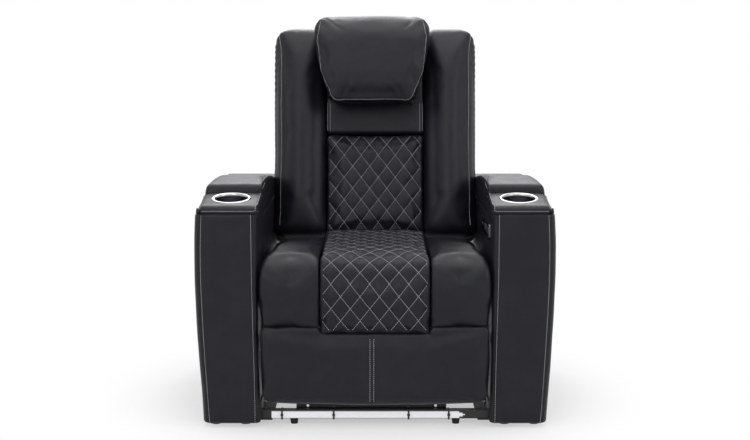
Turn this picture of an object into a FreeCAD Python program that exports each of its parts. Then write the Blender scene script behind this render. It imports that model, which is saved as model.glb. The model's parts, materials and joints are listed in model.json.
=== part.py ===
import FreeCAD, Part
import math
import os

os.makedirs("parts", exist_ok=True)
V = FreeCAD.Vector

# Driving dimensions, in millimetres and degrees.
# The chair faces -Y, +X is its left-hand side as someone sits in it, and the floor is z = 0.

arm_gap = 596.0             # between the inner faces of the arms
front_proud = 12.0          # the seat front stands this far in front of the arms
side_gap = 4.0              # between an arm and the backrest
running_gap = 0.1           # radial, pin to hole
board = 12.0                # plywood of the arms
fit_gap = 0.5               # between a lid, tray or button and what it sits in
rest_gap = 0.3              # between a soft pad and the frame or springs it rests on

# Arms
arm_length = 790.0
arm_top_width = 156.0       # inner face to the outer face at the top
arm_bulge = 8.0             # the outer pad stands out at mid height
arm_taper = 12.0            # the outer face comes in at the floor
arm_clearance = 10.0        # underside above the floor
inner_pad = 12.0
outer_pad = 15.0
front_pad = 18.0
rear_pad = 12.0
deck_pad = 14.0
roll_depth = 40.0           # the front panel rolls this far back over the top
roll_top = 572.0
deck_start = 567.0          # top of the cup deck behind the roll
deck_length = 135.0
deck_slope = 9.6
deck_gap = 0.2              # under the deck pad
frame_top = 571.0           # top of the arm frame under the lid

# Cup holders
cup_radius = 40.0
cup_wall = 1.5
cup_depth = 68.0
cup_floor = 2.0
cup_flange_radius = 52.0
cup_flange = 2.5
cup_back = 115.0            # centre behind the arm's front face

# Storage bins and lids
bin_length = 450.0
bin_depth = 240.0
bin_wall = 3.0
lid_crest = 50.0            # top of the lid above the arm frame
lid_board = 10.0
skirt_drop = 35.0
skirt_thick = 11.0
hinge_leaf = 1.3
hinge_radius = 3.5
hinge_width = 60.0

# Control plate on the inner face of one arm
plate_back = 91.0           # front end behind the arm's front face
plate_length = 244.0
plate_height = 38.0
plate_top = 514.0
plate_thick = 3.0
housing_depth = 13.0
button_length = 22.0
button_height = 16.0
button_proud = 1.2
button_pitch = 34.0
button_stem = 6.0
well_depth = 5.0            # behind the arm's inner face
rocker_pin = 1.5
usb_width = 14.5
usb_height = 7.2
usb_wall = 1.0

# Base
foot_height = 12.0
rail_thick = 4.0
rail_height = 48.0
rail_flange = 32.0
rail_metal = 3.0
rail_back = 738.0           # rear end of the rails behind the arm's front face
tube_square = 22.0
tube_wall = 2.0
front_tube_back = 36.0      # front face of the front cross tube, behind the arm's front face
rear_tube_back = 677.0
ear_height = 105.0          # lower swing pivots above the floor
pin_radius = 5.0
foot_radius = 11.0
foot_half_pitch = 210.0
strip_height = 17.0
strip_thick = 5.0
strip_left = -268.0
strip_right = 218.0
tie_places = (-241.0, -107.0, 87.0, 191.0)
angle_left = -205.0
angle_right = 186.0
angle_height = 11.0
angle_metal = 2.0
tie_thick = 1.2
tie_half = 2.3
angle_holes = (-175.0, 158.0)
power_width = 150.0
power_depth = 75.0
power_height = 45.0
inlet_radius = 3.0
inlet_depth = 12.0
bolt_count = 4              # arm bolts through each rail
bolt_margin = 125.0         # from the ends of the arm
bolt_radius = 4.0
bolt_head = 7.0
bolt_head_height = 4.5

# Swing links, which carry the seat forward as the back goes down
swing_length = 110.0
swing_angle = 20.0          # the links lean this far back at rest and forward at the end
front_swing_back = 220.0    # front lower pivots behind the seat's front
rear_swing_ahead = 45.0     # rear lower pivots ahead of the lumbar pad
link_thick = 4.0
link_half = 13.0
plane_gap = 2.0             # between a rail's web and the swing link
plane_pitch = 7.0           # from one linkage plane to the next

# Seat
recline_angle = 45.0
seat_depth = 525.0          # front of the seat to the lumbar pad
seat_top = 441.0
seat_crest = 433.0
seat_front_bottom = 261.0
seat_centre_bottom = 243.0
seat_pad_bottom = 345.0
seat_half = 290.0
centre_half = 141.0
centre_proud = 4.0
seat_rail_height = 40.0
seat_rail_width = 35.0
seat_lip = 50.0             # the pads hang this far over the front of the seat frame
seat_frame_gap = 27.0       # the seat frame ends this far ahead of the lumbar pad
front_seat_tube_back = 235.0
front_seat_tube_z = 285.0
rear_seat_tube_z = 205.0
seat_tube_radius = 11.0
seat_spring_count = 5
back_spring_count = 3
spring_span = 48.0
spring_pitch = 30.0
spring_spacing = 90.0
wire_radius = 1.9

# Backrest, laid out upright and then leaned back about its front lower edge
lean = 16.0
back_foot_z = 430.0
back_pivot_behind = 25.0    # behind the foot of the lumbar pad
back_pivot_z = 385.0
bolster_height = 612.0
bolster_proud = 25.0
pad_depth = 130.0
lumbar_height = 304.0
lumbar_half = 143.0
frame_depth = 50.0
back_rail_width = 30.0
corner_radius = 20.0
apron = 90.0
cover_depth = 40.98         # the rear cover, behind the back frame
middle_rail = 300.0
middle_rail_height = 45.0
end_rail_height = 40.0
end_rail_inset = 16.0
crank_behind = 120.0        # the back motor's cross tube
crank_z = 270.0

# Headrest
headrest_bottom = 395.0
headrest_top = 646.0
headrest_front = 95.0
headrest_hinge = 400.0
headrest_tilt = 30.0
headrest_arm = 108.0        # the two hinge arms
headrest_arm_thick = 4.0
headrest_arm_half = 8.0
headrest_plate_rear = -2.0
headrest_plate_thick = 3.0
push_height = 480.0
push_radius = 7.0
guide_wall = 3.0
rod_clearance = 1.6         # between the push rod and the headrest plate, at both ends of the travel

# Footrest
foot_pivot_back = 77.0      # linkage pivot behind the footrest's face
foot_pivot_z = 212.0
foot_top = 240.0            # under the middle of the seat
foot_side_top = 258.0       # under the side pads
foot_bottom = 57.0
foot_half = 289.0
foot_board = 15.0
foot_pad = 27.0
thigh_back = 175.0          # behind the footrest's face
thigh_z = 228.0
knee_back = 260.0
knee_z = 72.0
foot_reach = 395.0          # thigh pivot to foot pivot with the footrest out
foot_rise = 100.0           # the foot pivot ends this far above the thigh pivot
drive_arm = 36.0            # drive tube from the thigh pivot
drive_radius = 11.0

# Motors
motor_tube = 16.0
motor_can = 20.0
motor_can_length = 110.0
motor_can_gap = 8.0
motor_block_half = 14.0
motor_block_front = 48.0
rod_radius = 10.0
eye_wall = 6.0
eye_half = 8.0
eye_gap = 0.3               # between a rod's eye and its tube, all along the slot
motor_half_pitch = 60.0
motor_neck = 16.0           # the bridge from the gearbox to the motor can, along the motor
motor_neck_half = 15.0
lug_pin = 6.0
footrest_motor_ahead = 13.0     # its rear pin ahead of the lumbar pad
footrest_motor_z = 150.0
back_motor_back = 260.0         # its pin behind the seat's front
back_motor_z = 250.0
path_steps = 12             # places worked out along a rod eye's slot

# Places worked out from the sizes above

arm_in = arm_gap / 2
arm_out = arm_in + arm_top_width
lean_turn = math.radians(lean)
rail_front = pad_depth + rest_gap
rail_rear = rail_front + frame_depth
cover_rear = rail_rear + cover_depth
cover_top = bolster_height - 6
back_reach = ((cover_rear - corner_radius) * math.cos(lean_turn)
              + (cover_top - corner_radius) * math.sin(lean_turn) + corner_radius)
front_y = -(seat_depth + back_reach) / 2
arm_front = front_y + front_proud
arm_rear = arm_front + arm_length
arm_mid = (arm_in + inner_pad + arm_out - outer_pad) / 2
frame_in = arm_in + inner_pad
frame_out = arm_out - outer_pad
frame_front = arm_front + front_pad
frame_rear = arm_rear - rear_pad
deck_front = arm_front + roll_depth
deck_rear = deck_front + deck_length
deck_rise = math.tan(math.radians(deck_slope))
lid_front = deck_rear + 2 * fit_gap
lid_rear = arm_rear - 2 * hinge_radius - 2
hinge_y = arm_rear - hinge_radius - 1
hinge_z = frame_top + hinge_radius
lid_bottom = frame_top + 2 * hinge_leaf
back_half = arm_in - side_gap
lumbar_y = front_y + seat_depth
front_swing_y = front_y + front_swing_back
rear_swing_y = lumbar_y - rear_swing_ahead
back_pivot_y = lumbar_y + back_pivot_behind
crank_y = lumbar_y + crank_behind
thigh_y = front_y + thigh_back
knee_y = front_y + knee_back
seat_frame_front = front_y + seat_lip
seat_frame_rear = lumbar_y - seat_frame_gap
front_seat_tube = (front_y + front_seat_tube_back, front_seat_tube_z)
rear_seat_tube = (rear_swing_y, rear_seat_tube_z)
footrest_motor_pivot = (lumbar_y - footrest_motor_ahead, footrest_motor_z)
back_motor_pivot = (front_y + back_motor_back, back_motor_z)

rail_out = arm_in
rail_in = rail_out - rail_thick
swing_out = rail_in - plane_gap
plate_out = swing_out - plane_pitch - 1
thigh_out = plate_out - plane_pitch
shin_out = thigh_out - plane_pitch
bracket_out = shin_out - plane_pitch
seat_plate_in = plate_out - link_thick
seat_frame_top = seat_pad_bottom - 2 * wire_radius - rest_gap
seat_frame_bottom = seat_frame_top - seat_rail_height

swing_run = swing_length * math.sin(math.radians(swing_angle))
swing_rise = swing_length * math.cos(math.radians(swing_angle))
tube_front = arm_front + front_tube_back
tube_bottom = foot_height + rail_metal
bolt_z = foot_height + rail_height / 2 + 2
rear_tube_y = arm_front + rear_tube_back


# Small builders

def block(x0, x1, y0, y1, z0, z1):
    return Part.makeBox(x1 - x0, y1 - y0, z1 - z0, V(x0, y0, z0))


def rod_x(y, z, x0, x1, radius):
    return Part.makeCylinder(radius, x1 - x0, V(x0, y, z), V(1, 0, 0))


def outline(points):
    """A closed flat outline in X and Y. Each point is (x, y) or (x, y, corner radius)."""
    places = [V(p[0], p[1], 0) for p in points]
    radii = [p[2] if len(p) > 2 else 0 for p in points]
    count = len(points)
    trims = []
    for i in range(count):
        to_last = places[i - 1] - places[i]
        to_next = places[(i + 1) % count] - places[i]
        half = to_last.getAngle(to_next) / 2
        trim = radii[i] / math.tan(half) if radii[i] else 0
        trim = min(trim, 0.48 * to_last.Length, 0.48 * to_next.Length)
        to_last.normalize()
        to_next.normalize()
        middle = to_last + to_next
        start = places[i] + to_last * trim
        end = places[i] + to_next * trim
        if trim > 0:
            middle.normalize()
            radius = trim * math.tan(half)
            reach = trim / math.cos(half) - radius
            trims.append((start, places[i] + middle * reach, end))
        else:
            trims.append((start, None, end))
    edges = []
    for i in range(count):
        start, middle, end = trims[i]
        if middle:
            edges.append(Part.Arc(start, middle, end).toShape())
        onward = trims[(i + 1) % count][0]
        if (onward - end).Length > 1e-6:
            edges.append(Part.makeLine(end, onward))
    return Part.Face(Part.Wire(edges))


def plate_x(points, x0, x1):
    """An outline of (y, z) points, from x0 to x1."""
    face = outline(points)
    face.Placement = FreeCAD.Placement(V(x0, 0, 0), FreeCAD.Rotation(V(1, 1, 1), 120))
    return face.extrude(V(x1 - x0, 0, 0))


def rounded_loop(points, radius, x0, x1):
    """A plate that reaches this far round a closed loop of (y, z) points."""
    area = sum(a[0] * b[1] - b[0] * a[1] for a, b in zip(points, points[1:] + points[:1]))
    around = points if area > 0 else points[::-1]
    corners = [V(p[0], p[1], 0) for p in around + around[:1]]
    face = Part.Face(Part.makePolygon(corners)).makeOffset2D(radius)
    face.Placement = FreeCAD.Placement(V(x0, 0, 0), FreeCAD.Rotation(V(1, 1, 1), 120))
    return face.extrude(V(x1 - x0, 0, 0))


def plate_y(points, y0, y1):
    """An outline of (x, z) points, from y0 to y1."""
    face = outline(points)
    face.rotate(V(0, 0, 0), V(1, 0, 0), 90)
    face.translate(V(0, y0, 0))
    return face.extrude(V(0, y1 - y0, 0))


def plate_z(points, z0, z1):
    """An outline of (x, y) points, from z0 to z1."""
    face = outline(points)
    face.translate(V(0, 0, z0))
    return face.extrude(V(0, 0, z1 - z0))


def mirrored(shape):
    return shape.mirror(V(0, 0, 0), V(1, 0, 0))


def pair(shape):
    return [shape, mirrored(shape)]


def save(name, solids):
    """One file for one piece, or for a group of pieces that stay apart."""
    if not isinstance(solids, list):
        solids = [solids]
    found = []
    for shape in solids:
        found.extend(shape.Solids)
    shape = found[0] if len(found) == 1 else Part.makeCompound(found)
    shape.exportStep("parts/" + name + ".step")


def leaned(shape):
    """Takes a shape from the upright backrest layout to its place in the chair."""
    turned = shape.copy()
    turned.rotate(V(0, 0, 0), V(1, 0, 0), -lean)
    turned.translate(V(0, lumbar_y, back_foot_z))
    return turned


def lean_place(y, z):
    """The chair's (y, z) of a point of the upright backrest layout."""
    return (lumbar_y + y * math.cos(lean_turn) + z * math.sin(lean_turn),
            back_foot_z - y * math.sin(lean_turn) + z * math.cos(lean_turn))


def link_plate(start, end, half, x0, x1):
    """A flat link with round ends between two (y, z) pivots."""
    a = V(x0, start[0], start[1])
    b = V(x0, end[0], end[1])
    along = (b - a).normalize()
    across = V(0, -along.z, along.y) * half
    corners = [a + across, a - across, b - across, b + across]
    middle = Part.Face(Part.makePolygon(corners + corners[:1])).extrude(V(x1 - x0, 0, 0))
    ends = [rod_x(p.y, p.z, x0, x1, half) for p in (a, b)]
    return middle.fuse(ends).removeSplitter()


def turned_place(place, centre, degrees):
    """A (y, z) place turned about a centre; positive lifts what points forward."""
    turn = math.radians(-degrees)
    y = place[0] - centre[0]
    z = place[1] - centre[1]
    return (centre[0] + y * math.cos(turn) - z * math.sin(turn),
            centre[1] + y * math.sin(turn) + z * math.cos(turn))


# Base: two steel rails with pivot ears, two cross tubes, feet, light strip and power box

def base_rail():
    front = tube_front - 4
    rear = arm_front + rail_back
    web_top = foot_height + rail_height
    web = block(rail_in, rail_out, front, rear, foot_height, web_top)
    flange = block(rail_out - rail_flange, rail_out, front, rear, foot_height, tube_bottom)
    rail = web.fuse(flange)
    for y in (front_swing_y, rear_swing_y):
        foot = ear_height - web_top + link_half
        ear = plate_x([(y - link_half - foot, web_top - 1), (y + link_half + foot, web_top - 1),
                       (y + link_half, ear_height + link_half, link_half * 0.9),
                       (y - link_half, ear_height + link_half, link_half * 0.9)], rail_in, rail_out)
        rail = rail.fuse(ear)
        rail = rail.cut(rod_x(y, ear_height, rail_in - 1, rail_out + 1, pin_radius + running_gap))
    for y in bolt_places():
        rail = rail.cut(rod_x(y, bolt_z, rail_in - 1, rail_out + 1, bolt_radius + running_gap))
    return rail.removeSplitter()


def bolt_places():
    """Arm bolts, evenly spaced between the front and rear cross tubes."""
    span = arm_length - 2 * bolt_margin
    return [arm_front + bolt_margin + span * i / (bolt_count - 1) for i in range(bolt_count)]


def cross_tube(front):
    outer = block(-rail_in, rail_in, front, front + tube_square, tube_bottom, tube_bottom + tube_square)
    inner = block(-rail_in, rail_in, front + tube_wall, front + tube_square - tube_wall,
                  tube_bottom + tube_wall, tube_bottom + tube_square - tube_wall)
    return outer.cut(inner)


def angle_plate():
    top = tube_bottom + tube_square
    metal = angle_metal
    rear = tube_front + tube_square + metal
    flat = block(angle_left, angle_right, tube_front + 2, rear, top, top + metal)
    upright = block(angle_left, angle_right, rear - metal, rear, top, top + angle_height)
    plate = flat.fuse(upright)
    for x in angle_holes:
        plate = plate.cut(Part.makeCylinder(3.5, 6, V(x, rear - 4, top + metal + 4.5), V(0, 1, 0)))
    for x in tie_places:
        plate = plate.cut(block(x - tie_half - fit_gap, x + tie_half + fit_gap, rear - metal, rear + 1,
                                top + metal, top + metal + tie_thick + fit_gap))
    return plate.removeSplitter()


def base_feet():
    feet = []
    for x in (-foot_half_pitch, foot_half_pitch):
        for y in (tube_front, rear_tube_y):
            centre = V(x, y + tube_square / 2, 0)
            feet.append(Part.makeCone(foot_radius - 2, foot_radius, tube_bottom, centre, V(0, 0, 1)))
    return feet


def arm_glides():
    glides = []
    for x in (frame_in + board + 14, frame_out - board - 14):
        for y in (frame_front + 30, frame_rear - 30):
            glides += pair(Part.makeCylinder(13, foot_height, V(x, y, 0), V(0, 0, 1)))
    return glides


def light_strip():
    bottom = tube_bottom + 2.5
    strip = block(strip_left, strip_right, tube_front - strip_thick, tube_front,
                  bottom, bottom + strip_height)
    plug = block(strip_right, strip_right + 9, tube_front - strip_thick, tube_front,
                 bottom + 4, bottom + strip_height - 4)
    pin = Part.makeCylinder(1.5, 6, V(strip_right + 9, tube_front - strip_thick / 2, bottom + 8.5),
                            V(1, 0, 0))
    return [strip, plug.fuse(pin)]


def cable_ties():
    """Bands round the front tube and the light strip, over the angle plate where it lies on the tube."""
    front = tube_front - strip_thick
    ties = []
    for x in tie_places:
        over = angle_metal if angle_left < x < angle_right else 0
        rear = tube_front + tube_square + over
        top = tube_bottom + tube_square + over
        band = block(x - tie_half, x + tie_half, front - tie_thick, rear + tie_thick,
                     tube_bottom - tie_thick, top + tie_thick)
        band = band.cut(block(x - tie_half - 1, x + tie_half + 1, front, rear, tube_bottom, top))
        lock = block(x - tie_half - 1.2, x + tie_half + 1.2, front - tie_thick - 3.4, front - tie_thick,
                     tube_bottom + 8, tube_bottom + 14)
        ties.append(band.fuse(lock))
    return ties


def power_box():
    """A supply that rests on the rear cross tube, with its low-voltage inlet at the back."""
    rear = rear_tube_y + tube_square + 3
    bottom = tube_bottom + tube_square
    middle = bottom + power_height / 2
    half = power_width / 2
    shape = plate_y([(-half, bottom, 3), (half, bottom, 3), (half, bottom + power_height, 6),
                     (-half, bottom + power_height, 6)], rear - power_depth, rear)
    inlet = Part.makeCylinder(inlet_radius, inlet_depth, V(half - 25, rear - inlet_depth, middle),
                              V(0, 1, 0))
    return shape.cut(inlet)


save("base_rails", pair(base_rail()))
save("base_cross_tubes", [cross_tube(tube_front), cross_tube(rear_tube_y)])
save("front_angle_plate", angle_plate())
save("base_feet", base_feet())
save("arm_glides", arm_glides())
save("light_strip", light_strip())
save("cable_ties", cable_ties())
save("power_box", power_box())


# Arms

def deck_height(y):
    return deck_start + (y - deck_front) * deck_rise


def under_deck(y):
    """Just under the deck pad, where the boards end."""
    return deck_height(y) - deck_pad - deck_gap


def side_outline(front, rear, bottom, under_lid):
    """A side pad or side board: its top follows the deck's underside, then the lid's."""
    return [(front, bottom), (rear, bottom), (rear, under_lid), (deck_rear, under_lid),
            (deck_rear, under_deck(deck_rear)), (deck_front, under_deck(deck_front)),
            (front, under_deck(front))]


def cup_solid(radius, top, bottom):
    """A cylinder along the tilted axis of the cup holder, measured from the deck's surface."""
    shape = Part.makeCylinder(radius, top - bottom, V(0, 0, bottom), V(0, 0, 1))
    return cup_placed(shape)


def cup_placed(shape):
    y = arm_front + cup_back
    shape.rotate(V(0, 0, 0), V(1, 0, 0), deck_slope)
    shape.translate(V(arm_mid, y, deck_height(y)))
    return shape


def plate_hole(x0, x1, growth):
    """The opening in the arm for the body of the control plate."""
    y0 = arm_front + plate_back
    return block(x0, x1, y0 + 6 - growth, y0 + plate_length - 6 + growth,
                 plate_top - plate_height + 6 - growth, plate_top - 6 + growth)


def bolted(shape):
    for y in bolt_places():
        shape = shape.cut(rod_x(y, bolt_z, arm_in - 1, frame_in + board + 1, bolt_radius + running_gap))
    return shape


def arm_boards(with_plate):
    low = foot_height
    x0 = frame_in + board
    x1 = frame_out - board
    side = side_outline(frame_front, frame_rear, low, frame_top)
    inner = bolted(plate_x(side, frame_in, x0))
    if with_plate:
        inner = inner.cut(plate_hole(frame_in - 1, x0 + 1, fit_gap))
    bin_rear = deck_rear + board + bin_length
    start = frame_front + board
    deck = plate_x([(start, under_deck(start) - board), (deck_rear, under_deck(deck_rear) - board),
                    (deck_rear, under_deck(deck_rear)), (start, under_deck(start))], x0, x1)
    deck = deck.cut(cup_solid(cup_radius + cup_wall + fit_gap, 20, -cup_depth))
    floor_top = frame_top - bin_depth
    divider_top = under_deck(deck_rear - board) - board - fit_gap
    divider = block(x0, x1, deck_rear - board, deck_rear, floor_top, divider_top)
    return [
        inner,
        plate_x(side, x1, frame_out),
        block(x0, x1, frame_front, frame_front + board, low, deck_height(frame_front) - deck_pad - board),
        block(x0, x1, frame_rear - board, frame_rear, low, frame_top),
        block(x0, x1, frame_front + board, frame_rear - board, low, low + board),
        block(x0, x1, deck_rear - board, bin_rear + board, floor_top - board, floor_top),
        divider.cut(cup_solid(cup_radius + cup_wall + fit_gap, 0, -cup_depth - fit_gap)),
        block(x0, x1, bin_rear, bin_rear + board, floor_top, frame_top - board),
        block(x0, x1, bin_rear, frame_rear - board, frame_top - board, frame_top),
        deck,
    ]


def arm_cover(with_plate):
    """The upholstery in its pieces: outer side, inner side, cup deck and rear."""
    low = arm_clearance
    top = frame_top
    pad_rear = frame_rear
    profile = plate_y([(frame_out, low), (arm_out - arm_taper, low, 6),
                       (arm_out + arm_bulge, (low + top) * 0.62, 260), (arm_out, top, 4),
                       (frame_out, top)], frame_front, pad_rear)
    outer = profile.common(plate_x(side_outline(frame_front, pad_rear, low, top),
                                   frame_out - 1, arm_out + 50))
    skirt_top = top - skirt_drop - 0.5
    side = side_outline(frame_front, pad_rear, low, skirt_top)
    inner = bolted(plate_x(side, arm_in, frame_in))
    if with_plate:
        inner = inner.cut(plate_hole(arm_in - 1, frame_in + 1, fit_gap))
    deck = plate_x([(deck_front, deck_height(deck_front) - deck_pad),
                    (deck_rear, deck_height(deck_rear) - deck_pad),
                    (deck_rear, deck_height(deck_rear), 4), (deck_front, deck_height(deck_front))],
                   arm_in, arm_out - 2)
    deck = deck.cut(cup_solid(cup_radius + cup_wall + fit_gap, 20, -cup_depth))
    rear = block(arm_in, arm_out - arm_taper, pad_rear, arm_rear, low, top)
    rear = rear.cut(block(arm_in - 1, arm_in + skirt_thick + fit_gap, pad_rear - 1, arm_rear + 1,
                          skirt_top, top + 1))
    return [outer, inner, deck, rear]


def arm_front_panel():
    low = arm_clearance
    rear = deck_front - fit_gap
    under_front = deck_height(frame_front) - deck_pad
    front = plate_x([(arm_front, low, 4), (frame_front, low), (frame_front, under_front),
                     (rear, deck_height(rear) - deck_pad), (rear, roll_top, 4), (arm_front, roll_top, 34)],
                    arm_in, arm_out + 10)
    shape = plate_y([(arm_in - 4, low, 6), (arm_out - arm_taper, low, 8), (arm_out - 1, 440, 400),
                     (arm_out - 3, roll_top, 12), (arm_in, roll_top, 3), (arm_in, 440)],
                    arm_front - 1, deck_front + 1)
    return front.common(shape)


def storage_tray():
    x0 = frame_in + board + fit_gap
    x1 = frame_out - board - fit_gap
    y0 = deck_rear + fit_gap
    y1 = deck_rear + board + bin_length - fit_gap
    z0 = frame_top - bin_depth
    wall = bin_wall
    return [
        block(x0, x1, y0, y1, z0, z0 + wall),
        block(x0, x0 + wall, y0, y1, z0 + wall, frame_top - 0.5),
        block(x1 - wall, x1, y0, y1, z0 + wall, frame_top - 0.5),
        block(x0 + wall, x1 - wall, y0, y0 + wall, z0 + wall, frame_top - board),
        block(x0 + wall, x1 - wall, y1 - wall, y1, z0 + wall, frame_top - board),
    ]


def cup_holder():
    outer = Part.makeCylinder(cup_radius + cup_wall, cup_depth, V(0, 0, -cup_depth), V(0, 0, 1))
    flange = Part.makeCylinder(cup_flange_radius, cup_flange, V(0, 0, 0.3), V(0, 0, 1))
    flange = flange.makeFillet(1.0, [flange.Edges[0]])
    neck = Part.makeCylinder(cup_radius + cup_wall, 1, V(0, 0, -0.5), V(0, 0, 1))
    well = Part.makeCylinder(cup_radius, cup_depth + 9, V(0, 0, cup_floor - cup_depth), V(0, 0, 1))
    return cup_placed(outer.fuse([neck, flange]).cut(well).removeSplitter())


def lid_pad():
    """A crowned pad round the lid board, with a skirt down the arm's inner face."""
    crown = frame_top + lid_crest
    section = plate_y([(arm_in, frame_top - skirt_drop), (arm_in + skirt_thick, frame_top - skirt_drop),
                       (arm_in + skirt_thick, lid_bottom), (arm_out - 5, lid_bottom, 5),
                       (arm_out - 3, crown - 12, 22), (arm_out - 32, crown, 60),
                       (arm_in + 30, crown, 80), (arm_in, crown - 9, 3)], lid_front, lid_rear)
    low = frame_top - skirt_drop - 1
    side = plate_x([(lid_front, low), (lid_front, crown - 10, 16), (lid_front + 175, crown, 300),
                    (lid_front + 345, crown - 9, 300), (lid_rear, crown - 24, 22), (lid_rear, low)],
                   arm_in - 1, arm_out + 1)
    return section.common(side).cut(lid_board_solid())


def lid_board_solid():
    return block(arm_in + skirt_thick + 3, arm_out - 15, lid_front + 12, lid_rear - 8,
                 lid_bottom, lid_bottom + lid_board)


def fixed_leaf():
    leaf = block(arm_mid - hinge_width / 2, arm_mid + hinge_width / 2, lid_rear - 30, hinge_y,
                 frame_top, frame_top + hinge_leaf)
    third = hinge_width / 3
    for x in (arm_mid - hinge_width / 2, arm_mid + hinge_width / 2 - third + 0.3):
        leaf = leaf.fuse(rod_x(hinge_y, hinge_z, x, x + third - 0.3, hinge_radius))
    pin_hole = rod_x(hinge_y, hinge_z, arm_mid - hinge_width, arm_mid + hinge_width,
                     hinge_radius / 2 + running_gap)
    swing_room = block(arm_mid - third / 2 - 0.3, arm_mid + third / 2 + 0.3, lid_rear + 1, hinge_y + 5,
                       frame_top - 1, frame_top + 9)
    return leaf.cut([pin_hole, swing_room])


def moving_leaf():
    """The leaf, its middle knuckle and the hinge pin, fixed to the lid board."""
    third = hinge_width / 3
    low = frame_top + hinge_leaf + 0.3
    leaf = block(arm_mid - third / 2, arm_mid + third / 2, lid_rear - 30, hinge_y, low, lid_bottom)
    knuckle = rod_x(hinge_y, hinge_z, arm_mid - third / 2, arm_mid + third / 2, hinge_radius)
    pin = rod_x(hinge_y, hinge_z, arm_mid - hinge_width / 2, arm_mid + hinge_width / 2, hinge_radius / 2)
    return leaf.fuse([knuckle, pin]).removeSplitter()


right = {name: maker() for name, maker in (
    ("front", arm_front_panel), ("cup", cup_holder), ("pad", lid_pad),
    ("tray", storage_tray), ("leaf", fixed_leaf))}
lid_wood = lid_board_solid().fuse(moving_leaf()).removeSplitter()

boards = arm_boards(True)
save("arm_inner_board_right", boards[0])
save("arm_frames", boards[1:] + [mirrored(b) for b in arm_boards(False)])
save("arm_cover_right", arm_cover(True))
save("arm_cover_left", [mirrored(p) for p in arm_cover(False)])
save("arm_front_right", right["front"])
save("arm_front_left", mirrored(right["front"]))
save("storage_trays", right["tray"] + [mirrored(p) for p in right["tray"]])
save("cup_holder_right", right["cup"])
save("cup_holder_left", mirrored(right["cup"]))
save("lid_hinges", pair(right["leaf"]))
save("lid_board_right", lid_wood)
save("lid_board_left", mirrored(lid_wood))
save("lid_pad_right", right["pad"])
save("lid_pad_left", mirrored(right["pad"]))


def arm_bolts():
    bolts = []
    for y in bolt_places():
        head = rod_x(y, bolt_z, rail_in - bolt_head_height, rail_in, bolt_head)
        shank = rod_x(y, bolt_z, rail_in, frame_in + board, bolt_radius)
        bolts += pair(head.fuse(shank))
    return bolts


save("arm_bolts", arm_bolts())


# Controls on the inner face of the right arm

plate_y0 = arm_front + plate_back
plate_mid_z = plate_top - plate_height / 2
button_places = [plate_y0 + 28 + button_pitch * i for i in range(4)]
usb_y = plate_y0 + plate_length - 45
rocker_x = arm_in + well_depth / 2
rocker_y = button_places[2]


def rounded_plate(y0, y1, z0, z1, radius, x0, x1):
    return plate_x([(y0, z0, radius), (y1, z0, radius), (y1, z1, radius), (y0, z1, radius)], x0, x1)


def button(y, length):
    half = length / 2
    tall = button_height / 2
    cap = rounded_plate(y - half, y + half, plate_mid_z - tall, plate_mid_z + tall, 3,
                        arm_in - plate_thick - button_proud, arm_in + 2)
    stem = rod_x(y, plate_mid_z, arm_in + 2, arm_in + 2 + button_stem, 3)
    return cap.fuse(stem)


def rocker():
    """A cap that tips about an upright pin behind its middle."""
    half = button_length / 2 - 1.0
    tall = button_height / 2
    cap = rounded_plate(rocker_y - half, rocker_y + half, plate_mid_z - tall, plate_mid_z + tall, 3,
                        arm_in - plate_thick - button_proud, arm_in + 1)
    rib = block(arm_in + 1, rocker_x, rocker_y - 3, rocker_y + 3, plate_mid_z - tall, plate_mid_z + tall)
    foot = V(rocker_x, rocker_y, plate_mid_z - tall - 2)
    pin = Part.makeCylinder(rocker_pin, 2 * tall + 4, foot, V(0, 0, 1))
    return cap.fuse([rib, pin]).removeSplitter()


def control_plate():
    z0 = plate_top - plate_height
    rim = rounded_plate(plate_y0, plate_y0 + plate_length, z0, plate_top, 9,
                        arm_in - plate_thick, arm_in)
    shape = rim.fuse(plate_hole(arm_in, arm_in + housing_depth, 0))
    half = button_length / 2 + fit_gap
    tall = button_height / 2 + fit_gap
    for y in button_places:
        well = block(arm_in - 9, arm_in + well_depth, y - half, y + half,
                     plate_mid_z - tall, plate_mid_z + tall)
        guide = rod_x(y, plate_mid_z, arm_in, arm_in + housing_depth - 1, 3 + fit_gap)
        shape = shape.cut([well, guide])
    shape = shape.cut(Part.makeCylinder(rocker_pin + running_gap, button_height + 4,
                                        V(rocker_x, rocker_y, plate_mid_z - button_height / 2 - 2),
                                        V(0, 0, 1)))
    shape = shape.cut(block(arm_in - 9, arm_in + housing_depth - 1, usb_y - usb_width / 2,
                            usb_y + usb_width / 2, plate_mid_z - usb_height / 2,
                            plate_mid_z + usb_height / 2))
    return shape


def usb_socket():
    """A shell of four walls and a back, open towards the seat."""
    x0 = arm_in - plate_thick
    x1 = arm_in + housing_depth - 1
    half = usb_width / 2
    tall = usb_height / 2
    z = plate_mid_z
    wall = usb_wall
    return [
        block(x0, x1 - wall, usb_y - half, usb_y + half, z + tall - wall, z + tall),
        block(x0, x1 - wall, usb_y - half, usb_y + half, z - tall, z - tall + wall),
        block(x0, x1 - wall, usb_y - half, usb_y - half + wall, z - tall + wall, z + tall - wall),
        block(x0, x1 - wall, usb_y + half - wall, usb_y + half, z - tall + wall, z + tall - wall),
        block(x1 - wall, x1, usb_y - half, usb_y + half, z - tall, z + tall),
    ]


save("control_plate", control_plate())
save("usb_socket", usb_socket())
save("headrest_rocker", rocker())
for name, place in (("recline_button", button_places[0]), ("upright_button", button_places[1]),
                    ("light_button", button_places[3])):
    save(name, button(place, button_length))


# Linkage

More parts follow.
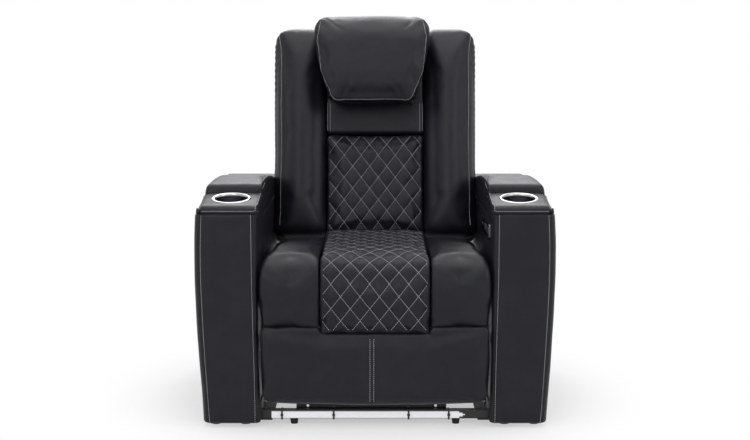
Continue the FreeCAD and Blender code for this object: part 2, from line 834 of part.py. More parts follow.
front_low = (front_swing_y, ear_height)
rear_low = (rear_swing_y, ear_height)
front_high = (front_swing_y + swing_run, ear_height + swing_rise)
rear_high = (rear_swing_y + swing_run, ear_height + swing_rise)
back_pivot = (back_pivot_y, back_pivot_z)
crank = (crank_y, crank_z)
thigh_pivot = (thigh_y, thigh_z)
knee = (knee_y, knee_z)
foot_pivot = (front_y + foot_pivot_back, foot_pivot_z)
foot_end = (thigh_y - math.sqrt(foot_reach ** 2 - foot_rise ** 2), thigh_z + foot_rise)


def forward_angle(start, end):
    """Angle of a link above straight ahead, seen with the front to the right."""
    return math.degrees(math.atan2(end[1] - start[1], start[0] - end[0]))


def distance(start, end):
    return math.hypot(end[0] - start[0], end[1] - start[1])


thigh_length = distance(thigh_pivot, knee)
shin_length = distance(knee, foot_pivot)
reach_angle = forward_angle(thigh_pivot, foot_end)
cosine = (thigh_length ** 2 + foot_reach ** 2 - shin_length ** 2) / (2 * thigh_length * foot_reach)
thigh_end = reach_angle - math.degrees(math.acos(cosine))
thigh_rest = forward_angle(thigh_pivot, knee)
thigh_turn = thigh_end - thigh_rest
knee_end = turned_place(knee, thigh_pivot, thigh_turn)
shin_turn = forward_angle(knee_end, foot_end) - forward_angle(knee, foot_pivot)
drive_share = drive_arm / thigh_length
drive = (thigh_y + (knee_y - thigh_y) * drive_share, thigh_z + (knee_z - thigh_z) * drive_share)


def swing_link(low, high):
    x0 = swing_out - link_thick
    link = link_plate(low, high, link_half, x0, swing_out)
    lower = rod_x(low[0], low[1], x0, rail_out - 0.3, pin_radius)
    collar = rod_x(low[0], low[1], swing_out, rail_in - 0.3, 9)
    upper = rod_x(high[0], high[1], seat_plate_in - 0.5, swing_out, pin_radius)
    spacer = rod_x(high[0], high[1], plate_out + 0.3, swing_out, 9)
    return link.fuse([lower, collar, upper, spacer]).removeSplitter()


def seat_side_plate():
    low = rear_seat_tube[1] - 17
    high = seat_frame_top
    y, z = back_pivot
    plate = plate_x([(thigh_y - 22, high, 8), (thigh_y - 22, thigh_z - 10, 12),
                     (front_swing_y, low, 30), (rear_high[0] + 22, low, 14), (y + 20, z - 30, 40),
                     (y + 18, z + 18, 14), (y - 16, z + 18, 14), (y - 22, high, 8)],
                    seat_plate_in, plate_out)
    holes = [rod_x(p[0], p[1], seat_plate_in - 1, plate_out + 1, pin_radius + running_gap)
             for p in (front_high, rear_high)]
    plate = plate.cut(holes)
    studs = []
    for place, reach, radius in ((thigh_pivot, thigh_out - link_thick, pin_radius),
                                 (back_pivot, thigh_out - link_thick, pin_radius + 1)):
        studs.append(rod_x(place[0], place[1], reach - 0.5, plate_out, radius))
        studs.append(rod_x(place[0], place[1], thigh_out + 0.3, seat_plate_in, radius + 4))
    return plate.fuse(studs).removeSplitter()


def motor_lugs(tube, pivot, x, half):
    """Two ears that carry a motor's rear pin, welded to a cross tube."""
    ears = [link_plate(tube, pivot, 12, x - half - 4, x - half),
            link_plate(tube, pivot, 12, x + half, x + half + 4)]
    pin = rod_x(pivot[0], pivot[1], x - half, x + half, lug_pin)
    return ears + [pin]


def seat_cross_tubes():
    tubes = []
    for tube, pivot, x in ((front_seat_tube, back_motor_pivot, motor_half_pitch),
                           (rear_seat_tube, footrest_motor_pivot, -motor_half_pitch)):
        bar = rod_x(tube[0], tube[1], -seat_plate_in, seat_plate_in, seat_tube_radius)
        tubes.append(bar.fuse(motor_lugs(tube, pivot, x, motor_block_half + 0.5)).removeSplitter())
    return tubes



def seat_frame():
    top = seat_frame_top
    low = seat_frame_bottom
    side_in = seat_plate_in - seat_rail_width
    rails = pair(block(side_in, seat_plate_in, seat_frame_front, seat_frame_rear - 20, low, top))
    rails.append(block(-side_in, side_in, seat_frame_front, seat_frame_front + 25, low, top))
    rails.append(block(-side_in, side_in, seat_frame_rear - 25, seat_frame_rear, low, top))
    return rails


def spring_wire(first, last, span, height, pitch):
    """A sinuous spring in a flat plane: bars across, joined by half circles."""
    count = 2 * int((last - first) / pitch / 2) + 1
    step = (last - first) / count
    radius = step / 2
    half = span / 2 - radius
    edges = [Part.makeLine(V(0, first, height), V(half, first, height))]
    side = 1
    for i in range(count):
        y = first + step * i
        start = V(side * half, y, height)
        middle = V(side * (half + radius), y + radius, height)
        end = V(side * half, y + step, height)
        edges.append(Part.Arc(start, middle, end).toShape())
        side = -side
        finish = V(side * half, y + step, height) if i < count - 1 else V(0, y + step, height)
        edges.append(Part.makeLine(end, finish))
    path = Part.Wire(edges)
    ring = Part.Wire([Part.makeCircle(wire_radius, V(0, first, height), V(1, 0, 0))])
    return path.makePipeShell([ring], True, False)


def seat_springs():
    height = seat_frame_top + wire_radius
    spring = spring_wire(seat_frame_front + 12, seat_frame_rear - 12, spring_span, height, spring_pitch)
    springs = []
    for i in range(seat_spring_count):
        copy = spring.copy()
        copy.translate(V((i - (seat_spring_count - 1) / 2) * spring_spacing, 0, 0))
        springs.append(copy)
    return springs


save("front_swing_links", pair(swing_link(front_low, front_high)))
save("rear_swing_links", pair(swing_link(rear_low, rear_high)))
save("seat_side_plates", pair(seat_side_plate()))
save("seat_cross_tubes", seat_cross_tubes())
save("seat_frame", seat_frame())
save("seat_springs", seat_springs())


# Seat pads, which roll over the front edge

def seat_profile(bottom, proud):
    top = seat_top + proud
    front = front_y + centre_proud - proud
    rear = lumbar_y - 2
    low = seat_pad_bottom
    lip = seat_frame_front - rest_gap
    return [(lip, bottom, 4), (front + 9, bottom, 9), (front, 345, 150),
            (front + 1, seat_crest + proud + 3, 56), (front + 150, top, 300), (rear, top, 16),
            (rear, low, 4), (lip, low)]


def seat_side_pad():
    side = plate_x(seat_profile(seat_front_bottom, 0), centre_half + 1, seat_half)
    face = plate_y([(centre_half + 1, seat_front_bottom - 1), (seat_half - 6, seat_front_bottom - 1, 8),
                    (seat_half, seat_front_bottom + 60, 80), (seat_half, seat_top + 1, 26),
                    (centre_half + 1, seat_top + 3)], front_y - 1, lumbar_y)
    return side.common(face)


def seat_centre_pad():
    return plate_x(seat_profile(seat_centre_bottom, centre_proud), -centre_half, centre_half)


side_pad = seat_side_pad()
save("seat_pad_right", side_pad)
save("seat_pad_left", mirrored(side_pad))
save("seat_pad_centre", seat_centre_pad())


# Backrest

rail_outer = thigh_out - link_thick
rail_inner = rail_outer - back_rail_width


def back_bracket():
    """A steel plate from the pivot up the side rail, with a leg down to the motor's cross tube."""
    y, z = back_pivot
    points = [(y - 15, z - 15, 14), (y - 15, z + 15, 14), (y + 12, z + 15, 14),
              lean_place(rail_front - 12, -16) + (10,), lean_place(rail_front + 6, 4) + (6,),
              lean_place(rail_front + 8, 190) + (8,), lean_place(rail_rear - 8, 190) + (8,),
              lean_place(rail_rear - 6, -10) + (20,), (crank_y + 16, crank_z - 4, 14),
              (crank_y + 6, crank_z - 16, 14), (crank_y - 16, crank_z - 6, 14)]
    plate = plate_x(points, rail_outer, thigh_out)
    return plate.cut(rod_x(y, z, rail_outer - 1, thigh_out + 1, pin_radius + 1 + running_gap))


def back_brackets():
    tube = rod_x(crank_y, crank_z, -rail_outer, rail_outer, drive_radius)
    return pair(back_bracket()) + [tube]


def back_frame():
    top = bolster_height - end_rail_inset
    rails = pair(block(rail_inner, rail_outer, rail_front, rail_rear, 4, top))
    for low, high in ((4, 4 + end_rail_height), (middle_rail, middle_rail + middle_rail_height),
                      (top - end_rail_height, top)):
        rails.append(block(-rail_inner, rail_inner, rail_front, rail_front + 22, low, high))
    return rails


def back_springs():
    """Upright sinuous springs stapled to the fronts of the lower and middle cross rails."""
    flat = spring_wire(4 + end_rail_height / 2, middle_rail + middle_rail_height / 2,
                       spring_span, 0, spring_pitch)
    flat.rotate(V(0, 0, 0), V(1, 0, 0), 90)
    flat.translate(V(0, rail_front - wire_radius, 0))
    springs = []
    for i in range(back_spring_count):
        copy = flat.copy()
        copy.translate(V((i - (back_spring_count - 1) / 2) * spring_spacing, 0, 0))
        springs.append(leaned(copy))
    return springs


def bolster():
    height = bolster_height
    plan = plate_z([(lumbar_half + 2, pad_depth, 2), (lumbar_half + 2, -bolster_proud + 4, 14),
                    (lumbar_half + 40, -bolster_proud, 60), (back_half - 40, -bolster_proud, 60),
                    (back_half, -bolster_proud + 16, 30), (back_half, pad_depth, 4)], 0, height)
    side = plate_x([(pad_depth, 0), (-bolster_proud + 6, 0, 30), (-bolster_proud - 1, 120, 200),
                    (-bolster_proud - 1, height - 60, 200), (-bolster_proud + 20, height, 48),
                    (pad_depth, height - 6, 10)], lumbar_half, back_half + 1)
    face = plate_y([(lumbar_half, 0), (back_half - 3, 0, 10), (back_half + 1, 60, 100),
                    (back_half + 1, height - 60, 200), (back_half - 10, height - 8, 36),
                    (lumbar_half + 30, height, 60), (lumbar_half, height - 6)],
                   -bolster_proud - 1, pad_depth + 1)
    return plan.common(side).common(face)


def back_pad(low, high, sunk):
    rear = rail_front - 2 * wire_radius - rest_gap
    return plate_x([(sunk, low, 14), (sunk, high, 14), (rear, high, 4), (rear, low, 4)],
                   -lumbar_half, lumbar_half)


def upper_pad():
    """The plain pad behind the headrest, with ways through it for the push rod and the hinge arms."""
    pad = back_pad(lumbar_height + 1, bolster_height - 14, 8)
    way = Part.makeCylinder(push_radius + guide_wall + fit_gap, pad_depth + 40, V(0, -20, push_height),
                            V(0, 1, 0))
    half = headrest_arm_half + fit_gap
    slot = block(headrest_arm - fit_gap, headrest_arm + headrest_arm_thick + fit_gap, -20, pad_depth + 20,
                 headrest_hinge - half, headrest_hinge + half)
    return pad.cut([way] + pair(slot))


def back_cover():
    inner = rail_rear
    half = back_half - 4
    side_in = thigh_out + 2
    panel = plate_x([(inner, 6), (inner, cover_top), (cover_rear, cover_top, corner_radius),
                     (cover_rear, 6)], -half, half)
    skirt = plate_x([(inner, -apron, 4), (inner, 6), (cover_rear, 6), (cover_rear, -apron, 10)],
                    -rail_outer + 12, rail_outer - 12)
    strips = pair(block(side_in, half, rail_front, inner, 10, cover_top - 6))
    cap = block(-half, half, rail_front, inner, cover_top - 6, cover_top)
    return [panel.fuse(skirt).removeSplitter()] + strips + [cap]


save("back_brackets", back_brackets())
save("back_frame", [leaned(r) for r in back_frame()])
save("back_springs", back_springs())
pillow = leaned(bolster())
save("bolster_right", pillow)
save("bolster_left", mirrored(pillow))
save("lumbar_pad", leaned(back_pad(0, lumbar_height, 0)))
save("upper_pad", leaned(upper_pad()))
save("back_cover", [leaned(p) for p in back_cover()])


# Headrest, hinged at its lower edge and pushed forward by a small motor in the backrest


def headrest_hinge_parts():
    """The steel plate with its hinge barrel."""
    rear = headrest_plate_rear
    plate = block(-105, 105, rear - headrest_plate_thick, rear, headrest_hinge, headrest_top - 60)
    barrel = rod_x(rear - headrest_plate_thick, headrest_hinge, -105, 105, 5)
    hole = rod_x(rear - headrest_plate_thick, headrest_hinge, -106, 106, 2.5 + running_gap)
    return plate.fuse(barrel).cut(hole).removeSplitter()


def headrest_mount():
    """The hinge pin and its two arms on the upper cross rail, with the motor behind them."""
    y = headrest_plate_rear - headrest_plate_thick
    z = headrest_hinge
    x0 = headrest_arm
    x1 = headrest_arm + headrest_arm_thick
    half = headrest_arm_half
    front = rail_front - 2 * wire_radius
    pin = rod_x(y, z, -x1 - 3, x1 + 3, 2.5)
    arms = pair(block(x0, x1, y - 5, rail_front, z - half, z + half))
    bridge = block(-x1, x1, front, rail_front, z + half, z + half + 12)
    tie = pair(block(x0, x1, front, rail_front, z, z + half + 12))
    body = block(-24, 24, front, rail_front + 40, z + half, push_height + 24)
    guide = Part.makeCylinder(push_radius + guide_wall, 72, V(0, rail_front - 72, push_height), V(0, 1, 0))
    tunnel = Part.makeCylinder(push_radius + 0.3, 180, V(0, rail_front - 100, push_height), V(0, 1, 0))
    top = block(-24, 24, front, rail_front, push_height + 24, bolster_height - 30)
    frame = bridge.fuse(arms + tie + [pin, body, top, guide]).cut(tunnel)
    return frame.removeSplitter()


def headrest_rod():
    tip = headrest_plate_rear + rod_clearance
    return Part.makeCylinder(push_radius, rail_rear - 4 - tip, V(0, tip, push_height), V(0, 1, 0))


def headrest_pad():
    front = -headrest_front
    back = -bolster_proud - 2
    low = headrest_bottom
    high = headrest_top
    half = [(112, low, 34), (146, low + 62, 160), (163, low + 160, 200), (176, high - 42, 40),
            (150, high, 50)]
    points = half + [(-p[0], p[1], p[2]) for p in reversed(half)]
    face = plate_y(points, front - 1, 1)
    side = plate_x([(back, low, 8), (front + 12, low, 24), (front, low + 70, 120), (front, high - 70, 120),
                    (front + 22, high, 40), (back + 8, high, 12), (back, high - 40)], -190, 190)
    rear = block(-lumbar_half + 6, lumbar_half - 6, back - 1, headrest_plate_rear, low + 12, high - 40)
    seat = block(-106, 106, headrest_plate_rear - headrest_plate_thick, 0, headrest_hinge - 9,
                 headrest_top - 60)
    barrel = rod_x(headrest_plate_rear - headrest_plate_thick, headrest_hinge, -118, 118, 10)
    return face.common(side).fuse(rear).cut([seat, barrel]).removeSplitter()


save("headrest_plate", leaned(headrest_hinge_parts()))
save("headrest_motor", leaned(headrest_mount()))
save("headrest_rod", leaned(headrest_rod()))
save("headrest_pad", leaned(headrest_pad()))


# Footrest

def thigh_link():
    x0 = thigh_out - link_thick
    link = link_plate(thigh_pivot, knee, 12, x0, thigh_out)
    holes = [rod_x(p[0], p[1], x0 - 1, thigh_out + 1, pin_radius + running_gap)
             for p in (thigh_pivot, knee)]
    return link.cut(holes)


def shin_link():
    x0 = shin_out - link_thick
    link = link_plate(knee, foot_pivot, 12, x0, shin_out)
    link = link.cut(rod_x(foot_pivot[0], foot_pivot[1], x0 - 1, shin_out + 1, pin_radius + running_gap))
    pin = rod_x(knee[0], knee[1], shin_out - 1, thigh_out + 0.5, pin_radius)
    spacer = rod_x(knee[0], knee[1], shin_out - 1, thigh_out - link_thick - 0.3, 9)
    return link.fuse([pin, spacer]).removeSplitter()


def footrest_bracket():
    y, z = foot_pivot
    face = front_y + foot_pad + foot_board
    x0 = bracket_out - link_thick
    plate = plate_x([(face, z + 16, 3), (face, z - 70, 3), (y - 10, z - 20, 20), (y + 12, z - 12, 12),
                     (y + 12, z + 12, 12)], x0, bracket_out)
    flange = block(x0 - 22, x0, face, face + 3, z - 64, z + 12)
    pin = rod_x(y, z, bracket_out - 1, shin_out + 0.5, pin_radius)
    spacer = rod_x(y, z, bracket_out - 1, shin_out - link_thick - 0.3, 9)
    return plate.fuse([flange, pin, spacer]).removeSplitter()


def footrest_board_solid():
    front = front_y + foot_pad
    return block(-foot_half + 11, foot_half - 11, front, front + foot_board, foot_bottom + 8, foot_top - 6)


def footrest_pads():
    """The panel in three: its middle is lower, under the seat's middle pad."""
    front = front_y
    half = foot_half
    split = centre_half + 2 * fit_gap
    outer = plate_y([(-half, foot_side_top, 8), (half, foot_side_top, 8), (half, foot_bottom + 7, 34),
                     (0, foot_bottom, 900), (-half, foot_bottom + 7, 34)], front - 1, front + foot_pad + 1)

    def slab(x0, x1, top):
        return outer.common(plate_x([(front, foot_bottom - 1, 14), (front, top, 10),
                                     (front + foot_pad, top, 3), (front + foot_pad, foot_bottom - 1, 3)],
                                    x0, x1))

    return [slab(-split, split, foot_top)] + pair(slab(split + rest_gap, half + 1, foot_side_top))


save("thigh_links", pair(thigh_link()))
drive_half = thigh_out - link_thick
save("drive_tube", rod_x(drive[0], drive[1], -drive_half, drive_half, drive_radius))
save("shin_links", pair(shin_link()))
save("footrest_brackets", pair(footrest_bracket()))
save("footrest_board", footrest_board_solid())
save("footrest_pad", footrest_pads())


# Motors: a housing on a rear pin, and a rod with an eye round the tube that it moves

def motor_placed(shape, pivot, end, x):
    """Takes a motor laid along +Y from the origin to its place between two (y, z) points."""
    rise = math.degrees(math.atan2(end[1] - pivot[1], end[0] - pivot[0]))
    shape.rotate(V(0, 0, 0), V(1, 0, 0), rise)
    shape.translate(V(x, pivot[0], pivot[1]))
    return shape


def motor_housing(tube_end, side):
    front = motor_block_front
    offset = motor_can + motor_tube + motor_can_gap
    gearbox = block(-motor_block_half, motor_block_half, -14, front, -motor_can, motor_can)
    reach = sorted((0, side * (offset + 4)))
    neck = block(reach[0], reach[1], front - motor_neck, front, -motor_neck_half, motor_neck_half)
    can = Part.makeCylinder(motor_can, motor_can_length, V(side * offset, front, 0), V(0, 1, 0))
    tube = Part.makeCylinder(motor_tube, tube_end - front, V(0, front, 0), V(0, 1, 0))
    bore = Part.makeCylinder(rod_radius + 0.3, tube_end - front, V(0, front + 2, 0), V(0, 1, 0))
    pin = rod_x(0, 0, -20, 20, lug_pin + running_gap)
    return gearbox.fuse([neck, can, tube]).cut([bore, pin]).removeSplitter()


def tube_path(pivot, start, centre, degrees):
    """Where the tube goes in the rod's eye, as (along, across) from its place at rest.

    The tube turns about its own centre while the motor turns and its rod slides evenly, so the tube
    leaves its place in mid travel and comes back to it at the end.
    """
    end = turned_place(start, centre, degrees)
    first = math.atan2(start[1] - pivot[1], start[0] - pivot[0])
    swing = math.remainder(math.atan2(end[1] - pivot[1], end[0] - pivot[0]) - first, 2 * math.pi)
    path = []
    for i in range(path_steps):
        share = i / path_steps
        y, z = turned_place(start, centre, degrees * share)
        angle = first + swing * share
        reach = distance(pivot, start) + (distance(pivot, end) - distance(pivot, start)) * share
        along = (y - pivot[0]) * math.cos(angle) + (z - pivot[1]) * math.sin(angle) - reach
        across = (z - pivot[1]) * math.cos(angle) - (y - pivot[0]) * math.sin(angle)
        path.append((along, across))
    return path


def motor_rod(length, inner_end, path):
    """A rod whose eye is a slot, as long as the tube's way through it."""
    places = [(length + along, across) for along, across in path]
    eye = rounded_loop(places, drive_radius + eye_wall, -eye_half, eye_half)
    bar = Part.makeCylinder(rod_radius, length - inner_end, V(0, inner_end, 0), V(0, 1, 0))
    hole = rounded_loop(places, drive_radius + eye_gap, -2 * eye_half, 2 * eye_half)
    return bar.fuse(eye).cut(hole).removeSplitter()


motors = (("footrest", footrest_motor_pivot, drive, thigh_pivot, thigh_turn, -motor_half_pitch, -1),
          ("back", back_motor_pivot, crank, back_pivot, recline_angle, motor_half_pitch, 1))
for name, pivot, start, centre, degrees, x, side in motors:
    end = turned_place(start, centre, degrees)
    rest = distance(pivot, start)
    last = distance(pivot, end)
    shortest = min(rest, last)
    tube_end = shortest - drive_radius - eye_wall - 8
    inner_end = motor_block_front + 6 + rest - shortest
    save(name + "_motor", motor_placed(motor_housing(tube_end, side), pivot, start, x))
    path = tube_path(pivot, start, centre, degrees)
    save(name + "_rod", motor_placed(motor_rod(rest, inner_end, path), pivot, start, x))
    swing = math.remainder(math.atan2(end[1] - pivot[1], end[0] - pivot[0])
                           - math.atan2(start[1] - pivot[1], start[0] - pivot[0]), 2 * math.pi)
    print(name, "motor turns", round(math.degrees(swing), 6), "about +X, rod moves", round(last - rest, 6))

print("thigh turns", round(thigh_turn, 6), "shin", round(shin_turn, 6))
print("thigh pivot", thigh_pivot, "knee", knee, "foot pivot", foot_pivot)
print("swing pivots", front_low, front_high, rear_low, rear_high)
hinge_back = headrest_plate_rear - headrest_plate_thick
tilt = math.radians(headrest_tilt)
push_low = push_height - push_radius - headrest_hinge
push_end = (headrest_plate_thick - push_low * math.sin(tilt)) / math.cos(tilt) + rod_clearance
print("headrest hinge", lean_place(hinge_back, headrest_hinge),
      "rod pushes", round(headrest_plate_thick + rod_clearance - push_end, 6))
print("lid hinge", (hinge_y, hinge_z), "drive", drive, "crank", crank)
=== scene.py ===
import json
import math

import bmesh
import bpy
from mathutils import Matrix, Vector, noise
from mathutils.bvhtree import BVHTree
from mathutils.kdtree import KDTree


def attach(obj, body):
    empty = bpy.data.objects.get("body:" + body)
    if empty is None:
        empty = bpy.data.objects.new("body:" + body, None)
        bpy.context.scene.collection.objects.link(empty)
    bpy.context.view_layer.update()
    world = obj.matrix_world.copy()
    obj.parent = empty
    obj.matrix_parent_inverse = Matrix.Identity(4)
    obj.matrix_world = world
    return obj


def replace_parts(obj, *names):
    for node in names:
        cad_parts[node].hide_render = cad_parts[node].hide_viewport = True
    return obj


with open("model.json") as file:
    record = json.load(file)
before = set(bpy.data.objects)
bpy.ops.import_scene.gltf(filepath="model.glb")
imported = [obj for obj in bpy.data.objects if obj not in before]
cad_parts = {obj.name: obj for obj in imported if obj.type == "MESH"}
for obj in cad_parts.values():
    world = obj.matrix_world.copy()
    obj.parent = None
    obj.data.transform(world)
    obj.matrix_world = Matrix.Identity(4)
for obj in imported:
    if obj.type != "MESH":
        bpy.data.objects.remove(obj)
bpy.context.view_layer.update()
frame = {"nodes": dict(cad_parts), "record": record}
node = frame["nodes"]

# metres; the chair faces -Y and the floor is z = 0; the back is shaped upright and then turned by backTurn
lumbarFoot = Vector((0, 0.075, 0.430))
backTurn = Matrix.Translation(lumbarFoot) @ Matrix.Rotation(math.radians(-16), 4, "X")

# camera, at the photograph's height and angle
view = {"y": -3.838, "z": 0.950, "down": 6.91, "lens": 65.17}
camera = bpy.data.objects.new("camera", bpy.data.cameras.new("camera"))
bpy.context.collection.objects.link(camera)
camera.location = (0, view["y"], view["z"])
camera.rotation_euler = (math.radians(90 - view["down"]), 0, 0)
camera.data.lens = view["lens"]
camera.data.sensor_width = 36
camera.data.clip_end = 60
bpy.context.scene.camera = camera
bpy.context.scene.view_settings.view_transform = "Standard"
print("camera placed")


# finishes

class Value:
    # a shader value: arithmetic on it adds Math nodes
    def __init__(self, bench, socket):
        self.bench = bench
        self.socket = socket

    def math(self, operation, *others):
        return self.bench.add("ShaderNodeMath", {"operation": operation}, [self, *others])

    def __add__(self, other):
        return self.math("ADD", other)

    def __radd__(self, other):
        return self.math("ADD", other)

    def __sub__(self, other):
        return self.math("SUBTRACT", other)

    def __rsub__(self, other):
        return self.bench.add("ShaderNodeMath", {"operation": "SUBTRACT"}, [other, self])

    def __mul__(self, other):
        return self.math("MULTIPLY", other)

    def __rmul__(self, other):
        return self.math("MULTIPLY", other)

    def __truediv__(self, other):
        return self.math("DIVIDE", other)

    def __rtruediv__(self, other):
        return self.bench.add("ShaderNodeMath", {"operation": "DIVIDE"}, [other, self])

    def fract(self):
        return self.math("FRACT")

    def most(self, other):
        return self.math("MAXIMUM", other)

    def between(self, low, high):
        # 0 below low, 1 above high, smooth between
        settings = {"interpolation_type": "SMOOTHSTEP"}
        return self.bench.add("ShaderNodeMapRange", settings, {"Value": self, "From Min": low, "From Max": high})


class Bench:
    # the node tree of a material or of the world while it is being made
    def __init__(self, owner):
        owner.use_nodes = True
        self.owner = owner
        self.tree = owner.node_tree
        self.tree.nodes.clear()

    def add(self, kind, settings=None, values=None, out=0):
        item = self.tree.nodes.new(kind)
        for key, value in (settings or {}).items():
            setattr(item, key, value)
        pairs = enumerate(values) if isinstance(values, (list, tuple)) else (values or {}).items()
        for key, value in pairs:
            socket = item.inputs[key]
            if isinstance(value, Value):
                self.tree.links.new(value.socket, socket)
            elif isinstance(value, (list, tuple)) and len(value) == 3 and socket.type == "RGBA":
                socket.default_value = (*value, 1)
            else:
                socket.default_value = value
        return Value(self, item.outputs[out])

    def place(self):
        return self.add("ShaderNodeTexCoord", out="Object")

    def stretched(self, vector, scale):
        return self.add("ShaderNodeMapping", None, {"Vector": vector, "Scale": scale})

    def noise(self, vector, scale, detail=3.0, rough=0.5):
        values = {"Vector": vector, "Scale": scale, "Detail": detail, "Roughness": rough}
        return self.add("ShaderNodeTexNoise", None, values)

    def cells(self, vector, scale, feature="F1", out="Distance"):
        return self.add("ShaderNodeTexVoronoi", {"feature": feature}, {"Vector": vector, "Scale": scale}, out)

    def tint(self, factor, first, second):
        values = {"Factor": factor, 6: first, 7: second}
        return self.add("ShaderNodeMix", {"data_type": "RGBA"}, values, 2)

    def bump(self, height, distance):
        return self.add("ShaderNodeBump", None, {"Height": height, "Distance": distance})

    def direct(self):
        # 1 for rays that show the plain background: from the camera, mirrored or through glass
        rays = [self.add("ShaderNodeLightPath", out=name)
                for name in ("Is Camera Ray", "Is Glossy Ray", "Is Transmission Ray")]
        return rays[0].most(rays[1]).most(rays[2])

    def close(self, shader, kind="ShaderNodeOutputMaterial"):
        end = self.tree.nodes.new(kind)
        self.tree.links.new(shader.socket, end.inputs["Surface"])
        return self.owner

    def finish(self, values):
        return self.close(self.add("ShaderNodeBsdfPrincipled", None, values))


def newBench(name):
    return Bench(bpy.data.materials.new(name))


leather = {"dark": (0.0078, 0.0085, 0.0134), "light": (0.0136, 0.0145, 0.0216), "specular": 0.26, "rough": 0.37,
           "grain": 1050, "grainDepth": 0.00011, "crease": 150, "creaseDepth": 0.00022, "patch": 26, "cloud": 7,
           "patchDepth": 0.0006, "holePitch": 0.0042, "holeDepth": 0.0005, "holeShade": (0.001, 0.001, 0.0012)}


def leatherFinish(name, perforated=False, shade=1.0):
    # fine pebble grain, a few creases and soft patches, with painted shade in the grain's hollows and in the
    # perforation holes
    bench = newBench(name)
    place = bench.place()
    pebbles = bench.cells(place, leather["grain"])
    creases = bench.cells(place, leather["crease"], "DISTANCE_TO_EDGE").between(0.0, 0.09)
    patches = bench.noise(place, leather["patch"], 4)
    cloud = bench.noise(place, leather["cloud"], 3)
    mottle = (patches * 0.6 + cloud * 0.4).between(0.38, 0.66)
    dark = tuple(v * shade for v in leather["dark"])
    light = tuple(v * shade for v in leather["light"])
    colour = bench.tint(mottle, dark, light)
    # painted shade: the colour is darkened in the grain's hollows, where the bump sinks
    colour = bench.tint(pebbles.between(0.1, 0.75) * 0.55, colour, tuple(v * 0.45 for v in dark))
    rough = leather["rough"] + (patches - 0.5) * 0.22 + pebbles * 0.08
    height = pebbles * -1 * leather["grainDepth"] + creases * leather["creaseDepth"] * 0.35
    height = height + patches * leather["patchDepth"]
    if perforated:
        spot = bench.add("ShaderNodeUVMap", {"uv_map": "cloth"})
        across = bench.add("ShaderNodeSeparateXYZ", None, [spot], "X")
        along = bench.add("ShaderNodeSeparateXYZ", None, [spot], "Y")
        u = (across / leather["holePitch"]).fract() - 0.5
        v = (along / leather["holePitch"]).fract() - 0.5
        hole = 1 - (u * u + v * v).between(0.018, 0.05)
        # painted shade: the perforation holes are darkened in the colour for the shade inside them; they are also
        # rougher and sunk in the bump
        colour = bench.tint(hole * 0.9, colour, leather["holeShade"])
        rough = rough + hole * 0.3
        height = height - hole * leather["holeDepth"]
    return bench.finish({"Base Color": colour, "Roughness": rough, "Specular IOR Level": leather["specular"],
                         "Normal": bench.bump(height, 1.0)})


def threadFinish():
    bench = newBench("thread")
    place = bench.place()
    twist = bench.noise(place, 2600, 2)
    colour = bench.tint(twist, (0.42, 0.42, 0.44), (0.70, 0.70, 0.71))
    return bench.finish({"Base Color": colour, "Roughness": 0.75 + twist * 0.15,
                         "Normal": bench.bump(twist, 0.0002)})


def metalFinish(name, dark, light, rough, brushed=(1, 1, 1), spangle=0.0):
    bench = newBench(name)
    place = bench.place()
    streaks = bench.noise(bench.stretched(place, brushed), 240, 4, 0.6)
    smudge = bench.noise(place, 14, 3)
    blend = streaks * (1 - spangle) + bench.cells(place, 160, out="Color") * spangle if spangle else streaks
    colour = bench.tint(blend, dark, light)
    gloss = rough + (smudge - 0.5) * 0.10 + (streaks - 0.5) * 0.08
    return bench.finish({"Base Color": colour, "Metallic": 1.0, "Roughness": gloss,
                         "Normal": bench.bump(streaks, 0.00006)})


def paintFinish(name, dark, light, rough, pitch, depth, specular=0.5):
    # powder coat, moulded plastic and rubber: a speckle of the given size
    bench = newBench(name)
    place = bench.place()
    speckle = bench.noise(place, pitch, 3, 0.65)
    wear = bench.noise(place, 18, 4, 0.6).between(0.45, 0.75)
    colour = bench.tint(speckle * 0.6 + wear * 0.4, dark, light)
    return bench.finish({"Base Color": colour, "Roughness": rough + (speckle - 0.5) * 0.14 + wear * 0.06,
                         "Specular IOR Level": specular, "Normal": bench.bump(speckle, depth)})


def plywoodFinish():
    bench = newBench("plywood")
    place = bench.place()
    grain = bench.noise(bench.stretched(place, (6, 1.2, 60)), 9, 5, 0.6)
    plies = (bench.noise(bench.stretched(place, (420, 420, 2)), 1, 1)).between(0.42, 0.58)
    colour = bench.tint(grain.between(0.3, 0.72), (0.36, 0.235, 0.125), (0.60, 0.44, 0.27))
    colour = bench.tint(plies * 0.35, colour, (0.26, 0.16, 0.085))
    return bench.finish({"Base Color": colour, "Roughness": 0.58 + grain * 0.2,
                         "Normal": bench.bump(grain, 0.0004)})


def diffuserFinish():
    bench = newBench("milky diffuser")
    cloud = bench.noise(bench.place(), 60, 2)
    colour = bench.tint(cloud, (0.82, 0.83, 0.85), (0.92, 0.93, 0.94))
    glow = bench.tint(cloud, (0.90, 0.93, 1.0), (0.98, 1.0, 1.0))
    return bench.finish({"Base Color": colour, "Roughness": 0.32 + cloud * 0.1, "Emission Color": glow,
                         "Emission Strength": 0.28, "Normal": bench.bump(cloud, 0.0003)})


def feltFinish():
    bench = newBench("tray felt")
    place = bench.place()
    fuzz = bench.noise(place, 1400, 3, 0.8)
    clump = bench.noise(place, 90, 3)
    colour = bench.tint(fuzz * 0.6 + clump * 0.4, (0.010, 0.010, 0.012), (0.05, 0.05, 0.055))
    return bench.finish({"Base Color": colour, "Roughness": 0.92 + fuzz * 0.08, "Sheen Weight": 0.4,
                         "Normal": bench.bump(fuzz, 0.0006)})


